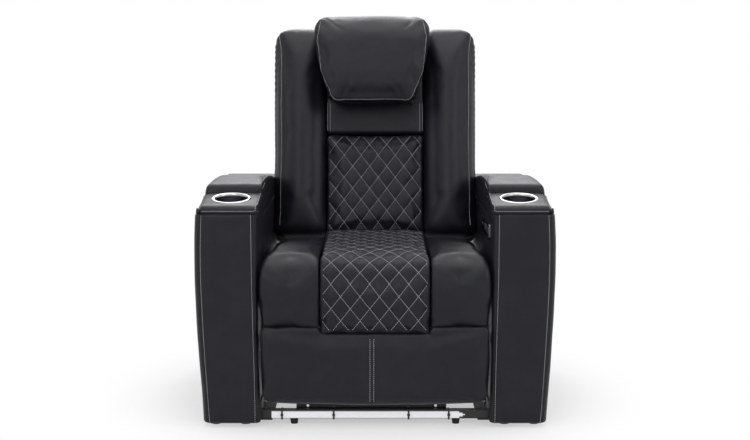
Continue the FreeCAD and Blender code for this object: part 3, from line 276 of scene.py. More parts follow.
material = {
    "leather": leatherFinish("leather"),
    "quilted_leather": leatherFinish("quilted leather", True, 1.25),
    "thread": threadFinish(),
    "black_steel": paintFinish("black powder coat", (0.010, 0.010, 0.012), (0.032, 0.032, 0.036), 0.46, 700, 0.0002),
    "zinc_steel": metalFinish("bright zinc", (0.42, 0.43, 0.45), (0.66, 0.66, 0.67), 0.34, spangle=0.5),
    "plywood": plywoodFinish(),
    "chrome": metalFinish("polished chrome", (0.30, 0.30, 0.32), (0.52, 0.52, 0.55), 0.14),
    "black_plastic": paintFinish("black moulded plastic", (0.014, 0.014, 0.016), (0.030, 0.030, 0.033), 0.5, 1500,
                                 0.0001),
    "button_plastic": paintFinish("button plastic", (0.030, 0.030, 0.033), (0.055, 0.055, 0.06), 0.28, 900, 0.00004),
    "rubber": paintFinish("foot rubber", (0.012, 0.012, 0.012), (0.030, 0.030, 0.030), 0.75, 500, 0.0002, 0.3),
    "light_diffuser": diffuserFinish(),
    "tray_lining": feltFinish(),
}
print("finishes made:", len(material))

slotOf = {part["node"]: part["material_slot"] for part in frame["record"]["subparts"]}
for name, obj in node.items():
    obj.data.materials.clear()
    obj.data.materials.append(material[slotOf[name]])


# tools for soft pieces

def activate(obj):
    bpy.ops.object.select_all(action="DESELECT")
    obj.select_set(True)
    bpy.context.view_layer.objects.active = obj


def applyModifier(obj, kind, **settings):
    activate(obj)
    modifier = obj.modifiers.new(kind.lower(), kind)
    for key, value in settings.items():
        setattr(modifier, key, value)
    bpy.ops.object.modifier_apply(modifier=modifier.name)


def newPiece(name, mesh, slot, body):
    obj = bpy.data.objects.new(name, mesh)
    bpy.context.collection.objects.link(obj)
    finishAs(obj, slot, body)
    return obj


def finishAs(obj, slot, body):
    obj.data.materials.clear()
    obj.data.materials.append(material[slot])
    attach(obj, body)


def softCopy(name, nodes, voxel, turn=None, smooth=6):
    # the nodes' solids as one even skin
    shell = bmesh.new()
    for item in nodes:
        shell.from_mesh(node[item].data)
    bmesh.ops.remove_doubles(shell, verts=shell.verts, dist=1e-5)
    mesh = bpy.data.meshes.new(name)
    shell.to_mesh(mesh)
    shell.free()
    if turn:
        mesh.transform(turn.inverted())
    obj = bpy.data.objects.new(name, mesh)
    bpy.context.collection.objects.link(obj)
    applyModifier(obj, "REMESH", mode="VOXEL", voxel_size=voxel, use_smooth_shade=True)
    applyModifier(obj, "SMOOTH", factor=0.5, iterations=smooth)
    return obj


def inflate(obj, held, pressure, cap, grow, smooth=8):
    # swells a pad like stuffed leather; held(place) is true where it is stapled down
    mesh = obj.data
    fixed = [held(v.co) for v in mesh.vertices]
    start = [v.co.copy() for v in mesh.vertices]
    group = obj.vertex_groups.new(name="held")
    group.add([i for i, stays in enumerate(fixed) if stays], 1.0, "REPLACE")
    activate(obj)
    modifier = obj.modifiers.new("cloth", "CLOTH")
    cloth = modifier.settings
    cloth.quality = 5
    cloth.mass = 0.25
    cloth.tension_stiffness = 12
    cloth.compression_stiffness = 12
    cloth.shear_stiffness = 6
    cloth.bending_stiffness = 0.6
    cloth.vertex_group_mass = "held"
    cloth.use_pressure = True
    cloth.uniform_pressure_force = pressure
    cloth.effector_weights.gravity = 0
    modifier.point_cache.frame_start = 1
    modifier.point_cache.frame_end = 20
    for step in range(1, 21):
        bpy.context.scene.frame_set(step)
    bpy.ops.object.modifier_apply(modifier="cloth")
    bpy.context.scene.frame_set(1)
    for v, first in zip(mesh.vertices, start):
        move = v.co - first
        if move.length > cap:
            v.co = first + move * (cap / move.length)
    applyModifier(obj, "SMOOTH", factor=0.5, iterations=smooth)
    normals = [v.normal.copy() for v in mesh.vertices]
    for v, normal, stays in zip(mesh.vertices, normals, fixed):
        if not stays:
            v.co += normal * grow
    obj.vertex_groups.clear()


def limitX(obj, low, high, soft=0.004):
    # keeps a swollen pad clear of the pads beside it
    for v in obj.data.vertices:
        if v.co.x > high - soft:
            v.co.x = high - soft + soft * math.tanh((v.co.x - high + soft) / soft)
        elif v.co.x < low + soft:
            v.co.x = low + soft - soft * math.tanh((low + soft - v.co.x) / soft)


def wrinkle(obj, depth, length, seed, stretch=(1, 1, 1), where=None):
    # slow hand-made unevenness of stretched leather
    offset = Vector((seed * 3.1, seed * 1.7, seed * 2.3))
    normals = [v.normal.copy() for v in obj.data.vertices]
    for v, normal in zip(obj.data.vertices, normals):
        place = Vector(v.co[i] * stretch[i] / length for i in range(3)) + offset
        amount = noise.noise(place) + 0.5 * noise.noise(place * 2.1)
        share = where(v.co) if where else 1
        v.co += normal * amount * depth * share


def evenPoints(line, spacing):
    # points along the line, about evenly spaced, with its corners kept
    points = []
    for a, b in zip(line, line[1:]):
        count = max(1, round((b - a).length / spacing))
        points += [a.lerp(b, i / count) for i in range(count)]
    return points + [line[-1]]


def nearLine(lines, spacing=0.002):
    # a search tree over points along the lines
    points = [point for line in lines for point in evenPoints(line, spacing)]
    tree = KDTree(len(points))
    for i, point in enumerate(points):
        tree.insert(point, i)
    tree.balance()
    return tree


def pressSeam(obj, lines, width=0.004, depth=0.003):
    # pulls the leather down along its seams
    tree = nearLine(lines)
    normals = [v.normal.copy() for v in obj.data.vertices]
    for v, normal in zip(obj.data.vertices, normals):
        away = tree.find(v.co)[2]
        if away < width * 3:
            v.co -= normal * depth * math.exp(-(away / width) ** 2)


def onSkin(tree, line, outward=None, spacing=0.003):
    # the line laid on the piece's surface as (place, normal) pairs; outward(place) gives the way to look from
    laid = []
    for spot in evenPoints(line, spacing):
        if outward:
            away = outward(spot)
            place = tree.ray_cast(spot + away * 0.03, -away, 0.06)[0]
            if place:
                laid.append((place, away))
        else:
            laid.append(tree.find_nearest(spot)[:2])
    return laid


thread = {"pitch": 0.0056, "length": 0.0044, "radius": 0.00062}
bpy.ops.object.select_all(action="DESELECT")
bpy.ops.mesh.primitive_uv_sphere_add(segments=6, ring_count=4, radius=1, location=(0, 0, 0))
stitchShape = bpy.context.object
bpy.ops.object.mode_set(mode="EDIT")
bpy.ops.mesh.select_all(action="SELECT")
bpy.ops.transform.resize(value=(thread["radius"], thread["radius"], thread["length"] / 2))
bpy.ops.object.mode_set(mode="OBJECT")
stitchPoints = [v.co.copy() for v in stitchShape.data.vertices]
stitchFaces = [tuple(p.vertices) for p in stitchShape.data.polygons]
bpy.data.objects.remove(stitchShape)


def sew(name, obj, lines, body, pitch=None, lift=0.0002, fat=1.0, outward=None):
    # one mesh of small stitches along the lines on a piece; quilting is laid on along outward
    pitch = pitch or thread["pitch"]
    tree = BVHTree.FromObject(obj, bpy.context.evaluated_depsgraph_get())
    points, faces = [], []
    for line in lines:
        laid = onSkin(tree, line, outward)
        walked = 0.0
        nextStitch = pitch / 2
        for (a, normal), (b, _) in zip(laid, laid[1:]):
            step = (b - a).length
            while step > 0 and walked + step >= nextStitch:
                share = (nextStitch - walked) / step
                along = (b - a).normalized()
                side = along.cross(normal).normalized()
                over = side.cross(along)
                turn = Matrix((side, over, along)).transposed()
                centre = a.lerp(b, share) + normal * lift
                first = len(points)
                points += [centre + turn @ Vector((p.x * fat, p.y * fat, p.z)) for p in stitchPoints]
                faces += [tuple(first + i for i in face) for face in stitchFaces]
                nextStitch += pitch
            walked += step
    mesh = bpy.data.meshes.new(name)
    mesh.from_pydata(points, [], faces)
    mesh.shade_smooth()
    return newPiece(name, mesh, "thread", body)


flip = Matrix.Scale(-1, 4, (1, 0, 0))


def mirrorPiece(obj, name, slot, body):
    mesh = obj.data.copy()
    mesh.transform(flip)
    mesh.flip_normals()
    return newPiece(name, mesh, slot, body)


def lean(obj):
    obj.data.transform(backTurn)


def gridPiece(name, columns, rows, place):
    # a grid whose point in column i and row j goes to place(i, j)
    bpy.ops.object.select_all(action="DESELECT")
    bpy.ops.mesh.primitive_grid_add(x_subdivisions=columns - 1, y_subdivisions=rows - 1, size=1)
    obj = bpy.context.object
    obj.name = obj.data.name = name
    for v in obj.data.vertices:
        v.co = place(round((v.co.x + 0.5) * (columns - 1)), round((v.co.y + 0.5) * (rows - 1)))
    activate(obj)
    return obj


def cutAway(obj):
    # cuts the newest primitive out of the piece
    cutter = bpy.context.object
    applyModifier(obj, "BOOLEAN", object=cutter, operation="DIFFERENCE", solver="EXACT")
    bpy.data.objects.remove(cutter)


# arms: a padded cover round each box, and a deck pad that rolls over the front

arm = {"inner": 0.298, "outer": 0.454, "front": -0.438, "rear": 0.352, "low": 0.0105, "frontSeam": 0.5545,
       "outerSeam": 0.4405, "innerSeam": 0.3095, "panelCrown": 0.0035, "wall": 0.009, "rollRear": -0.398,
       "corners": (0.012, 0.017, 0.022, 0.016), "lidStart": -0.2635, "lip": 0.0115, "underLid": 0.571,
       "insideUnderLid": 0.5352, "deckGap": 0.0125, "topCurl": 0.009, "lowCurl": 0.007, "rowCount": 64}
outerSilhouette = ((0.0, 0.4405), (0.15, 0.4505), (0.30, 0.4585), (0.43, 0.4620), (0.52, 0.4590), (0.60, 0.4540))


def between(table, at):
    for (a, first), (b, last) in zip(table, table[1:]):
        if at <= b:
            share = max(0, (at - a) / (b - a))
            return first + (last - first) * share
    return table[-1][1]


def smoothStep(low, high, value):
    t = min(1, max(0, (value - low) / (high - low)))
    return t * t * (3 - 2 * t)


def outerAt(z):
    # the outer face bulges at mid height and comes in at the floor
    step = 0.03
    return sum(between(outerSilhouette, z + d) for d in (-2 * step, -step, 0, step, 2 * step)) / 5


def deckHeight(y):
    return 0.567 + (y - arm["rollRear"]) * 0.16914


def roundedPath(corners, radii, spacing, fine=(), fineStep=0.0015):
    # points along a closed outline with rounded corners, closer together near the places in fine
    points = []
    count = len(corners)
    for i in range(count):
        here, last, onward = corners[i], corners[i - 1], corners[(i + 1) % count]
        toLast = (last - here).normalized()
        toNext = (onward - here).normalized()
        r = radii[i]
        centre = here + (toLast + toNext) * r
        steps = max(3, round(r * 1.57 / 0.003))
        for k in range(steps + 1):
            turn = k / steps * math.pi / 2
            points.append(centre - toNext * r * math.cos(turn) - toLast * r * math.sin(turn))
        start = here + toNext * r
        end = onward - toNext * radii[(i + 1) % count]
        length = (end - start).length
        steps = max(2, round(length / spacing))
        places = {k / steps * length for k in range(1, steps)}
        for spot in fine:
            along = (spot - start).dot(toNext)
            off = abs((spot - start).cross(toNext))
            if -0.001 < along < length + 0.001 and off < 0.01:
                places |= {along + k * fineStep for k in range(-4, 5) if 0.001 < along + k * fineStep < length - 0.001}
        kept = -1
        for place in sorted(places):
            if place - kept > fineStep * 0.7:
                points.append(start + toNext * place)
                kept = place
    return points


def coverTop(place, outward):
    # how high the cover goes: to the front seam, under the deck pad, or under the lid
    if outward.y < -0.5 or place.y < -0.4:
        return arm["frontSeam"]
    if place.y >= arm["lidStart"]:
        inside = outward.x < -0.3 or place.x < arm["inner"] + arm["lip"]
        return arm["insideUnderLid"] if inside else arm["underLid"]
    underDeck = deckHeight(max(place.y, arm["rollRear"])) - arm["deckGap"]
    return arm["frontSeam"] + (underDeck - arm["frontSeam"]) * smoothStep(-0.400, -0.385, place.y)


def curl(past, radius):
    # how far an edge turns in, from the distance past where it starts to turn
    return 1 - math.sqrt(max(0, 1 - max(0, past / radius) ** 2))


def coverPlan():
    # the cover's outline from above, with closer points where its height or its seams change
    corners = [Vector((arm[x], arm[y])) for x, y in
               (("inner", "rear"), ("inner", "front"), ("outer", "front"), ("outer", "rear"))]
    marks = [Vector(spot) for spot in
             ((arm["inner"], arm["lidStart"]), (arm["outer"], arm["lidStart"]), (arm["outerSeam"], arm["front"]),
              (arm["innerSeam"], arm["front"]), (arm["inner"] + arm["lip"], arm["rear"]),
              (arm["outer"] - 0.05, arm["rear"]), (arm["inner"] + 0.05, arm["rear"]))]
    plan = roundedPath(corners, arm["corners"], 0.0075, marks)
    return plan + [plan[0]]


def armCover(name, seed):
    plan = coverPlan()
    count = arm["rowCount"]
    rows = [0, 0.003, 0.008, 0.014]
    rows += [0.014 + (0.965 - 0.014) * k / count for k in range(1, count + 1)] + [0.975, 0.985, 0.993, 1.0]

    def place(i, j):
        spot = plan[i]
        ahead, behind = plan[(i + 1) % (len(plan) - 1)], plan[(i - 1) % (len(plan) - 1)]
        outward = Vector((ahead.y - behind.y, behind.x - ahead.x)).normalized()
        top = coverTop(spot, outward)
        z = arm["low"] + (top - arm["low"]) * rows[j]
        shift = (outerAt(z) - arm["outer"]) * smoothStep(0.405, 0.445, spot.x)
        inward = -0.005 * smoothStep(0.25, 0.02, z) * smoothStep(-0.405, -0.43, spot.y)
        inward *= smoothStep(0.34, 0.30, spot.x)
        point = Vector((spot.x + shift + inward, spot.y, z))
        t = (point.x - arm["innerSeam"]) / (arm["outerSeam"] - arm["innerSeam"])
        if outward.y < -0.7 and 0 < t < 1:
            point.y -= arm["panelCrown"] * (1 - (2 * t - 1) ** 4) * smoothStep(0.0, 0.05, z)
        turned = 0.007 * curl(z - top + arm["topCurl"], arm["topCurl"])
        turned += 0.006 * curl(arm["low"] + arm["lowCurl"] - z, arm["lowCurl"])
        return point - Vector((outward.x, outward.y, 0)) * turned

    obj = gridPiece(name, len(plan), len(rows), place)
    bpy.ops.object.mode_set(mode="EDIT")
    bpy.ops.mesh.select_all(action="SELECT")
    bpy.ops.mesh.remove_doubles(threshold=0.0002)
    bpy.ops.mesh.normals_make_consistent(inside=False)
    bpy.ops.object.mode_set(mode="OBJECT")
    centre = Vector((0.376, -0.04, 0.3))
    if sum((p.center - centre).dot(p.normal) for p in obj.data.polygons) < 0:
        obj.data.flip_normals()
    obj.data.shade_smooth()
    wrinkle(obj, 0.0011, 0.11, seed, (1, 1, 0.7), lambda c: smoothStep(0.02, 0.06, c.z))
    pressSeam(obj, armSeams(), 0.0030, 0.0028)
    return obj


def armSeams():
    # the two upright seams of the front panel
    seams = []
    for at in ("outerSeam", "innerSeam"):
        points = []
        for k in range(57):
            z = 0.012 + (arm["frontSeam"] - 0.014) * k / 56
            x = arm[at]
            if at == "outerSeam":
                x += (outerAt(z) - arm["outer"])
            else:
                x -= 0.006 * smoothStep(0.45, 0.05, z)
            points.append(Vector((x, arm["front"] - 0.0005, z)))
        seams.append(points)
    return seams


rollPath = ((-0.4340, 0.5500), (-0.4385, 0.5552), (-0.4388, 0.5600), (-0.4365, 0.5658), (-0.4315, 0.5705),
            (-0.4245, 0.5733), (-0.4160, 0.5742), (-0.4060, 0.5735), (-0.3950, 0.5722), (-0.3830, 0.5718),
            (-0.3700, 0.5728), (-0.3550, 0.5748), (-0.3400, 0.5772), (-0.3250, 0.5797), (-0.3100, 0.5822),
            (-0.2950, 0.5847), (-0.2800, 0.5872), (-0.2700, 0.5884), (-0.2655, 0.5868), (-0.2640, 0.5820))


def finerPath(points, spacing):
    # a smooth line through the points
    places = [Vector(p) for p in points]
    dense = []
    for i in range(len(places) - 1):
        a, b = places[max(0, i - 1)], places[i]
        c, d = places[i + 1], places[min(len(places) - 1, i + 2)]
        steps = max(2, round((c - b).length / spacing))
        for k in range(steps):
            t = k / steps
            dense.append(0.5 * ((2 * b) + (c - a) * t + (2 * a - 5 * b + 4 * c - d) * t * t
                                + (3 * b - a - 3 * c + d) * t ** 3))
    dense.append(places[-1])
    return dense


cup = {"centre": (0.3745, -0.323), "tilt": 9.6, "steps": 72}
deck = {"outer": 0.4548, "soft": 0.019, "spacing": 0.0028, "count": 42, "crown": 0.0012, "skin": 0.0045,
        "rollCentre": Vector((-0.4190, 0.5555)), "rearCentre": Vector((-0.2730, 0.5770)), "narrow": 0.006,
        "hole": 0.0425}


def deckProfile():
    # the pad from its inner to its outer edge: (x, drop below the deck)
    inner, outer, soft, count = arm["inner"], deck["outer"], deck["soft"], deck["count"]
    across = [(inner, 0.0175), (inner - 0.0002, 0.012), (inner - 0.0002, 0.007), (inner + 0.0004, 0.0035),
              (inner + 0.0018, 0.0012), (inner + 0.0045, 0.0002)]
    for k in range(count):
        t = k / count
        across.append((inner + 0.008 + (outer - soft - 0.008 - inner) * t, -deck["crown"] * (1 - (2 * t - 1) ** 4)))
    for k in range(13):
        turn = math.pi / 2 * k / 12
        across.append((outer - soft + soft * math.sin(turn), soft * (1 - math.cos(turn))))
    return across + [(outer, soft + 0.003)]


def deckPad(name, seed):
    # the side flaps of the roll and of the rear end close on a line inside the pad
    along = finerPath(rollPath, deck["spacing"])
    across = deckProfile()

    def place(i, j):
        here = along[j]
        run = along[min(j + 1, len(along) - 1)] - along[max(j - 1, 0)]
        outward = Vector((-run.y, run.x)).normalized()
        x, drop = across[i]
        if here.x < -0.405:
            drop = min(drop, (here - deck["rollCentre"]).length * 0.96)
        if here.x > -0.2675:
            drop = min(drop, (here - deck["rearCentre"]).length * 0.96)
        ends = 1 - smoothStep(-0.415, -0.380, here.x) + smoothStep(-0.285, -0.265, here.x)
        x -= deck["narrow"] * ends * smoothStep(0.425, 0.452, x)
        return x, here.x - outward.x * drop, here.y - outward.y * drop

    obj = gridPiece(name, len(across), len(along), place)
    obj.data.shade_smooth()
    if sum(p.normal.z for p in obj.data.polygons) < 0:
        obj.data.flip_normals()
    wrinkle(obj, 0.0009, 0.05, seed)
    applyModifier(obj, "SOLIDIFY", thickness=deck["skin"], offset=-1)
    x, y = cup["centre"]
    bpy.ops.object.select_all(action="DESELECT")
    bpy.ops.mesh.primitive_cylinder_add(vertices=64, radius=deck["hole"], depth=0.09, location=(x, y, deckHeight(y)),
                                        rotation=(math.radians(cup["tilt"]), 0, 0))
    cutAway(obj)
    return obj


def cutPlateHole(obj):
    # the way through the cover for the control plate
    bpy.ops.object.select_all(action="DESELECT")
    bpy.ops.mesh.primitive_cube_add(size=1, location=(0.302, -0.225, 0.495), scale=(0.05, 0.2335, 0.0275))
    cutAway(obj)


print("arm covers")
rightCover = armCover("armCoverRight", 3)
leftCover = armCover("armCoverLeft", 5)
for cover in (rightCover, leftCover):
    applyModifier(cover, "SOLIDIFY", thickness=arm["wall"], offset=-1)
cutPlateHole(rightCover)
rightDeck = deckPad("armDeckRight", 11)
leftCover.data.transform(flip)
leftCover.data.flip_normals()
for obj in (rightCover, leftCover, rightDeck):
    finishAs(obj, "leather", "base")
leftDeck = mirrorPiece(rightDeck, "armDeckLeft", "leather", "base")
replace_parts(rightCover, "arm_cover_right")
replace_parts(leftCover, "arm_cover_left")
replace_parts(rightDeck, "arm_front_right")
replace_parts(leftDeck, "arm_front_left")

deckLine = [Vector((0.3022, p.x, p.y - 0.0006)) for p in finerPath(rollPath[2:-2], 0.006)]
capLine = [Vector((x, -0.442, arm["frontSeam"] + 0.0058)) for x in (0.304, 0.34, 0.38, 0.41, 0.440)]
for side, cover, pad in (("Right", rightCover, rightDeck), ("Left", leftCover, leftDeck)):
    seams = [[Vector((p.x + inset, p.y, p.z)) for p in line]
             for line, inset in zip(armSeams(), (-0.0042, 0.0042))]
    edge = [deckLine, capLine]
    if side == "Left":
        seams, edge = [[[flip @ p for p in line] for line in group] for group in (seams, edge)]
    sew("frontStitches" + side, cover, seams, "base")
    sew("deckStitches" + side, pad, edge, "base")


# cup holders, turned from one profile

cupProfile = ((0.0508, 0.0003), (0.0518, 0.0010), (0.0520, 0.0019), (0.0513, 0.0028), (0.0497, 0.0034),
              (0.0474, 0.0036), (0.0448, 0.0033), (0.0426, 0.0025), (0.0410, 0.0011), (0.0402, -0.0008),
              (0.0400, -0.0030), (0.0400, -0.0590), (0.0392, -0.0630), (0.0370, -0.0655), (0.0330, -0.0660),
              (0.0001, -0.0660))


def cupHolder(name, side):
    mesh = bpy.data.meshes.new(name)
    points = [(r, 0, h) for r, h in cupProfile]
    mesh.from_pydata(points, [(i, i + 1) for i in range(len(points) - 1)], [])
    obj = bpy.data.objects.new(name, mesh)
    bpy.context.collection.objects.link(obj)
    activate(obj)
    bpy.ops.object.mode_set(mode="EDIT")
    bpy.ops.mesh.select_all(action="SELECT")
    bpy.ops.mesh.spin(steps=cup["steps"], angle=math.tau, center=(0, 0, 0), axis=(0, 0, 1))
    bpy.ops.mesh.select_all(action="SELECT")
    bpy.ops.mesh.remove_doubles(threshold=0.00015)
    bpy.ops.mesh.normals_make_consistent(inside=False)
    bpy.ops.object.mode_set(mode="OBJECT")
    top = max(obj.data.polygons, key=lambda p: p.center.z)
    if top.normal.z < 0:
        obj.data.flip_normals()
    applyModifier(obj, "SOLIDIFY", thickness=0.0012, offset=-1)
    obj.data.shade_smooth()
    x, y = cup["centre"]
    place = Matrix.Translation((side * x, y, deckHeight(y))) @ Matrix.Rotation(math.radians(cup["tilt"]), 4, "X")
    obj.data.transform(place)
    finishAs(obj, "chrome", "base")
    return obj


print("cup holders")
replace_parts(cupHolder("cupHolderRight", 1), "cup_holder_right")
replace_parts(cupHolder("cupHolderLeft", -1), "cup_holder_left")


# lids over the storage bins

lid = {"voxel": 0.004, "cap": 0.003, "grow": 0.0008, "seamIn": 0.3012, "fall": 0.016, "cover": 0.004}


def lidPad():
    obj = softCopy("lidPadRight", ["lid_pad_right"], lid["voxel"], smooth=2)
    boardTop = max(v.co.z for v in node["lid_board_right"].data.vertices)
    for v in obj.data.vertices:
        fallen = v.co.z - lid["fall"] * smoothStep(-0.14, 0.32, v.co.y) * smoothStep(0.578, 0.602, v.co.z)
        v.co.z = max(fallen, min(v.co.z, boardTop + lid["cover"]))
    crown = obj.vertex_groups.new(name="crown")
    crown.add([v.index for v in obj.data.vertices if v.co.z > 0.590 and v.co.x > 0.312], 1.0, "REPLACE")
    applyModifier(obj, "SMOOTH", factor=0.5, iterations=30, vertex_group="crown")
    obj.vertex_groups.clear()
    inflate(obj, lambda c: c.z < 0.580 or (c.x < 0.306 and c.z < 0.60), 2.0, lid["cap"], lid["grow"], 6)
    limitX(obj, 0.2975, 0.4590, 0.002)
    wrinkle(obj, 0.0012, 0.12, 9, (1.2, 0.7, 1), lambda c: smoothStep(0.585, 0.60, c.z))
    return obj


def lidCrown(y):
    # height of the lid's inner top edge
    t = (y + 0.262) / 0.6
    return 0.594 + 0.0135 * smoothStep(-0.05, 0.30, t) - 0.022 * smoothStep(0.3, 1.0, t)


print("lids")
lidRight = lidPad()
lidEdge = [-0.252 + 0.585 * k / 60 for k in range(61)]
lidSeam = [Vector((lid["seamIn"], y, lidCrown(y) + 0.003)) for y in lidEdge]
pressSeam(lidRight, [lidSeam], 0.0022, 0.0012)
finishAs(lidRight, "leather", "lid_right")
lidLeft = mirrorPiece(lidRight, "lidPadLeft", "leather", "lid_left")
lidStitch = [Vector((p.x + 0.0045, p.y, p.z + 0.002)) for p in lidSeam]
sew("lidStitchesRight", lidRight, [lidStitch], "lid_right")
sew("lidStitchesLeft", lidLeft, [[flip @ p for p in lidStitch]], "lid_left")
for obj, side in ((lidRight, "right"), (lidLeft, "left")):
    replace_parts(obj, "lid_pad_" + side)


# seat: two plain side pads and a quilted middle

seat = {"voxel": 0.005, "slope": 0.020, "cap": 0.0065, "pressure": 4.0, "grow": 0.0035, "quiltGrow": 0.0025,
        "bend": (-0.395, 0.386, 0.056), "pitchX": 0.0493, "pitchS": 0.0626, "nodeX": -0.0133, "nodeS": 0.2504,
        "quiltDepth": 0.0050, "quiltPower": 0.5, "quiltStart": 0.256, "quiltEnd": 0.914, "quiltHalf": 0.134}


def seatPath(y, z):
    # length along the seat's outside, from the floor up the front and back over the top
    cy, cz, r = seat["bend"]
    if z < cz and y < cy + 0.02:
        return z
    if y > cy:
        return cz + r * math.pi / 2 + (y - cy)
    return cz + r * math.atan2(z - cz, cy - y)


def seatPlace(x, s):
    cy, cz, r = seat["bend"]
    if s < cz:
        return Vector((x, cy - r, s))
    turn = (s - cz) / r
    if turn < math.pi / 2:
        return Vector((x, cy - r * math.cos(turn), cz + r * math.sin(turn)))
    return Vector((x, cy + s - cz - r * math.pi / 2, cz + r))


def seatHeld(c):
    # where the seat's leather is stapled to its frame
    return c.y > 0.060 or (c.y > -0.396 and c.z < 0.352) or (c.y > -0.404 and c.z < 0.34)


def quiltHeight(t1, t2, power):
    # 1 in the middle of a diamond, 0 on its sewn sides
    return (abs(math.sin(math.pi * t1) * math.sin(math.pi * t2))) ** power


def quilt(obj, coordinates, mask, size, depth):
    # diamonds between the sewn lines stand up; the cloth map runs along the surface
    normals = [v.normal.copy() for v in obj.data.vertices]
    spots = [coordinates(v.co) for v in obj.data.vertices]
    masks = [mask(v.co, normal) for v, normal in zip(obj.data.vertices, normals)]
    for v, normal, (x, s), share in zip(obj.data.vertices, normals, spots, masks):
        u, w = (x - size["nodeX"]) / size["pitchX"], (s - size["nodeS"]) / size["pitchS"]
        v.co -= normal * depth * (1 - quiltHeight(u + w, u - w, size["quiltPower"])) * share
    layer = obj.data.uv_layers.new(name="cloth")
    for loop in obj.data.loops:
        layer.data[loop.index].uv = spots[loop.vertex_index]


def quiltLines(size, lowX, highX, lowS, highS, place):
    # the sewn lines, both ways across, inside the given limits
    lines = []
    steps = 240
    span = int((highX - lowX) / size["pitchX"] + (highS - lowS) / size["pitchS"]) + 4
    for direction in (1, -1):
        for k in range(-span * 2, span * 2):
            line = []
            for i in range(steps + 1):
                s = lowS + (highS - lowS) * i / steps
                w = (s - size["nodeS"]) / size["pitchS"]
                x = size["nodeX"] + size["pitchX"] * (k - direction * w)
                if lowX < x < highX:
                    line.append(place(x, s))
            if len(line) > 3:
                lines.append(line)
    return lines


def hangLow(obj, drop):
    # the front roll reaches down over the top of the footrest panel
    for v in obj.data.vertices:
        if v.co.y < -0.39:
            v.co.z -= drop * smoothStep(0.32, 0.26, v.co.z)


print("seat side pads")
seatRight = softCopy("seatPadRight", ["seat_pad_right"], seat["voxel"], smooth=5)
inflate(seatRight, seatHeld, seat["pressure"], seat["cap"], seat["grow"])
hangLow(seatRight, 0.005)
for v in seatRight.data.vertices:
    side = 0.85 + 0.45 * smoothStep(0.20, 0.29, v.co.x)
    v.co.z -= seat["slope"] * side * smoothStep(-0.30, 0.0, v.co.y) * smoothStep(0.38, 0.42, v.co.z)
limitX(seatRight, 0.1425, 0.2960, 0.002)
wrinkle(seatRight, 0.0018, 0.10, 21, (1, 0.8, 1))
finishAs(seatRight, "leather", "seat")
seatLeft = mirrorPiece(seatRight, "seatPadLeft", "leather", "seat")
wrinkle(seatLeft, 0.0010, 0.09, 31)
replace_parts(seatRight, "seat_pad_right")
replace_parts(seatLeft, "seat_pad_left")

print("seat quilt")
seatMiddle = softCopy("seatQuilt", ["seat_pad_centre"], seat["voxel"], smooth=4)
inflate(seatMiddle, seatHeld, seat["pressure"], seat["cap"], seat["quiltGrow"])
limitX(seatMiddle, -0.1425, 0.1425, 0.002)
hangLow(seatMiddle, 0.004)
applyModifier(seatMiddle, "SUBSURF", levels=1, render_levels=1)


def seatMask(c, normal):
    edge = smoothStep(0.1405, 0.1300, abs(c.x))
    low = smoothStep(0.249, 0.262, c.z) if c.y < -0.40 else smoothStep(0.40, 0.425, c.z)
    facing = smoothStep(0.2, 0.6, max(-normal.y, normal.z))
    return edge * low * facing


quilt(seatMiddle, lambda c: (c.x, seatPath(c.y, c.z)), seatMask, seat, seat["quiltDepth"])
finishAs(seatMiddle, "quilted_leather", "seat")
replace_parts(seatMiddle, "seat_pad_centre")
seatLines = quiltLines(seat, -seat["quiltHalf"], seat["quiltHalf"], seat["quiltStart"], seat["quiltEnd"], seatPlace)


def seatOutward(place):
    # away from the seat's inside, round its front bend
    cy, cz, r = seat["bend"]
    away = Vector((0, min(0, place.y - cy), max(0, place.z - cz)))
    return away.normalized() if away.length > 1e-6 else Vector((0, 0, 1))


sew("seatQuiltStitches", seatMiddle, seatLines, "seat", 0.0060, 0.0007, 1.15, seatOutward)


# backrest, shaped upright and then leaned back

back = {"voxel": 0.005, "cap": 0.010, "pressure": 4.0, "grow": 0.0035, "quiltCap": 0.008, "quiltGrow": 0.0025,
        "crown": 0.013, "seamX": 0.2885, "seamY": -0.0150, "taller": 0.015, "wider": 0.002}
lumbar = {"pitchX": 0.0498, "pitchS": 0.0660, "nodeX": -0.0404, "nodeS": 0.2377, "quiltDepth": 0.0050,
          "quiltPower": 0.5}

print("bolsters")
bolsterRight = softCopy("bolsterRight", ["bolster_right"], back["voxel"], backTurn, 5)
inflate(bolsterRight, lambda c: c.y > 0.118, back["pressure"], back["cap"], back["grow"])
for v in bolsterRight.data.vertices:
    across = (v.co.x - 0.219) / 0.075
    side = 1.3 if across < 0 else 0.7
    v.co.y += back["crown"] * min(1, abs(across)) ** 4 * smoothStep(0.06, -0.01, v.co.y) * side
limitX(bolsterRight, 0.1435, 0.2965, 0.002)
for v in bolsterRight.data.vertices:
    v.co.z += back["taller"] * smoothStep(0.46, 0.60, v.co.z) * smoothStep(0.145, 0.175, v.co.x)
    front = 1 - smoothStep(0.015, 0.05, v.co.y)
    v.co.x += back["wider"] * front * smoothStep(0.28, 0.40, v.co.z) * smoothStep(0.20, 0.29, v.co.x)
wrinkle(bolsterRight, 0.0020, 0.13, 41, (1, 1, 0.7))


def sideEdge(z):
    return Vector((back["seamX"] + back["wider"] * smoothStep(0.28, 0.40, z), back["seamY"], z))


sideSeam = [sideEdge(0.03 + 0.53 * k / 50) for k in range(51)]
sideSeam += [Vector((back["seamX"], -0.008, 0.583)), Vector((back["seamX"] - 0.006, 0.006, 0.605)),
             Vector((back["seamX"] - 0.014, 0.030, 0.620)), Vector((back["seamX"] - 0.020, 0.070, 0.626))]


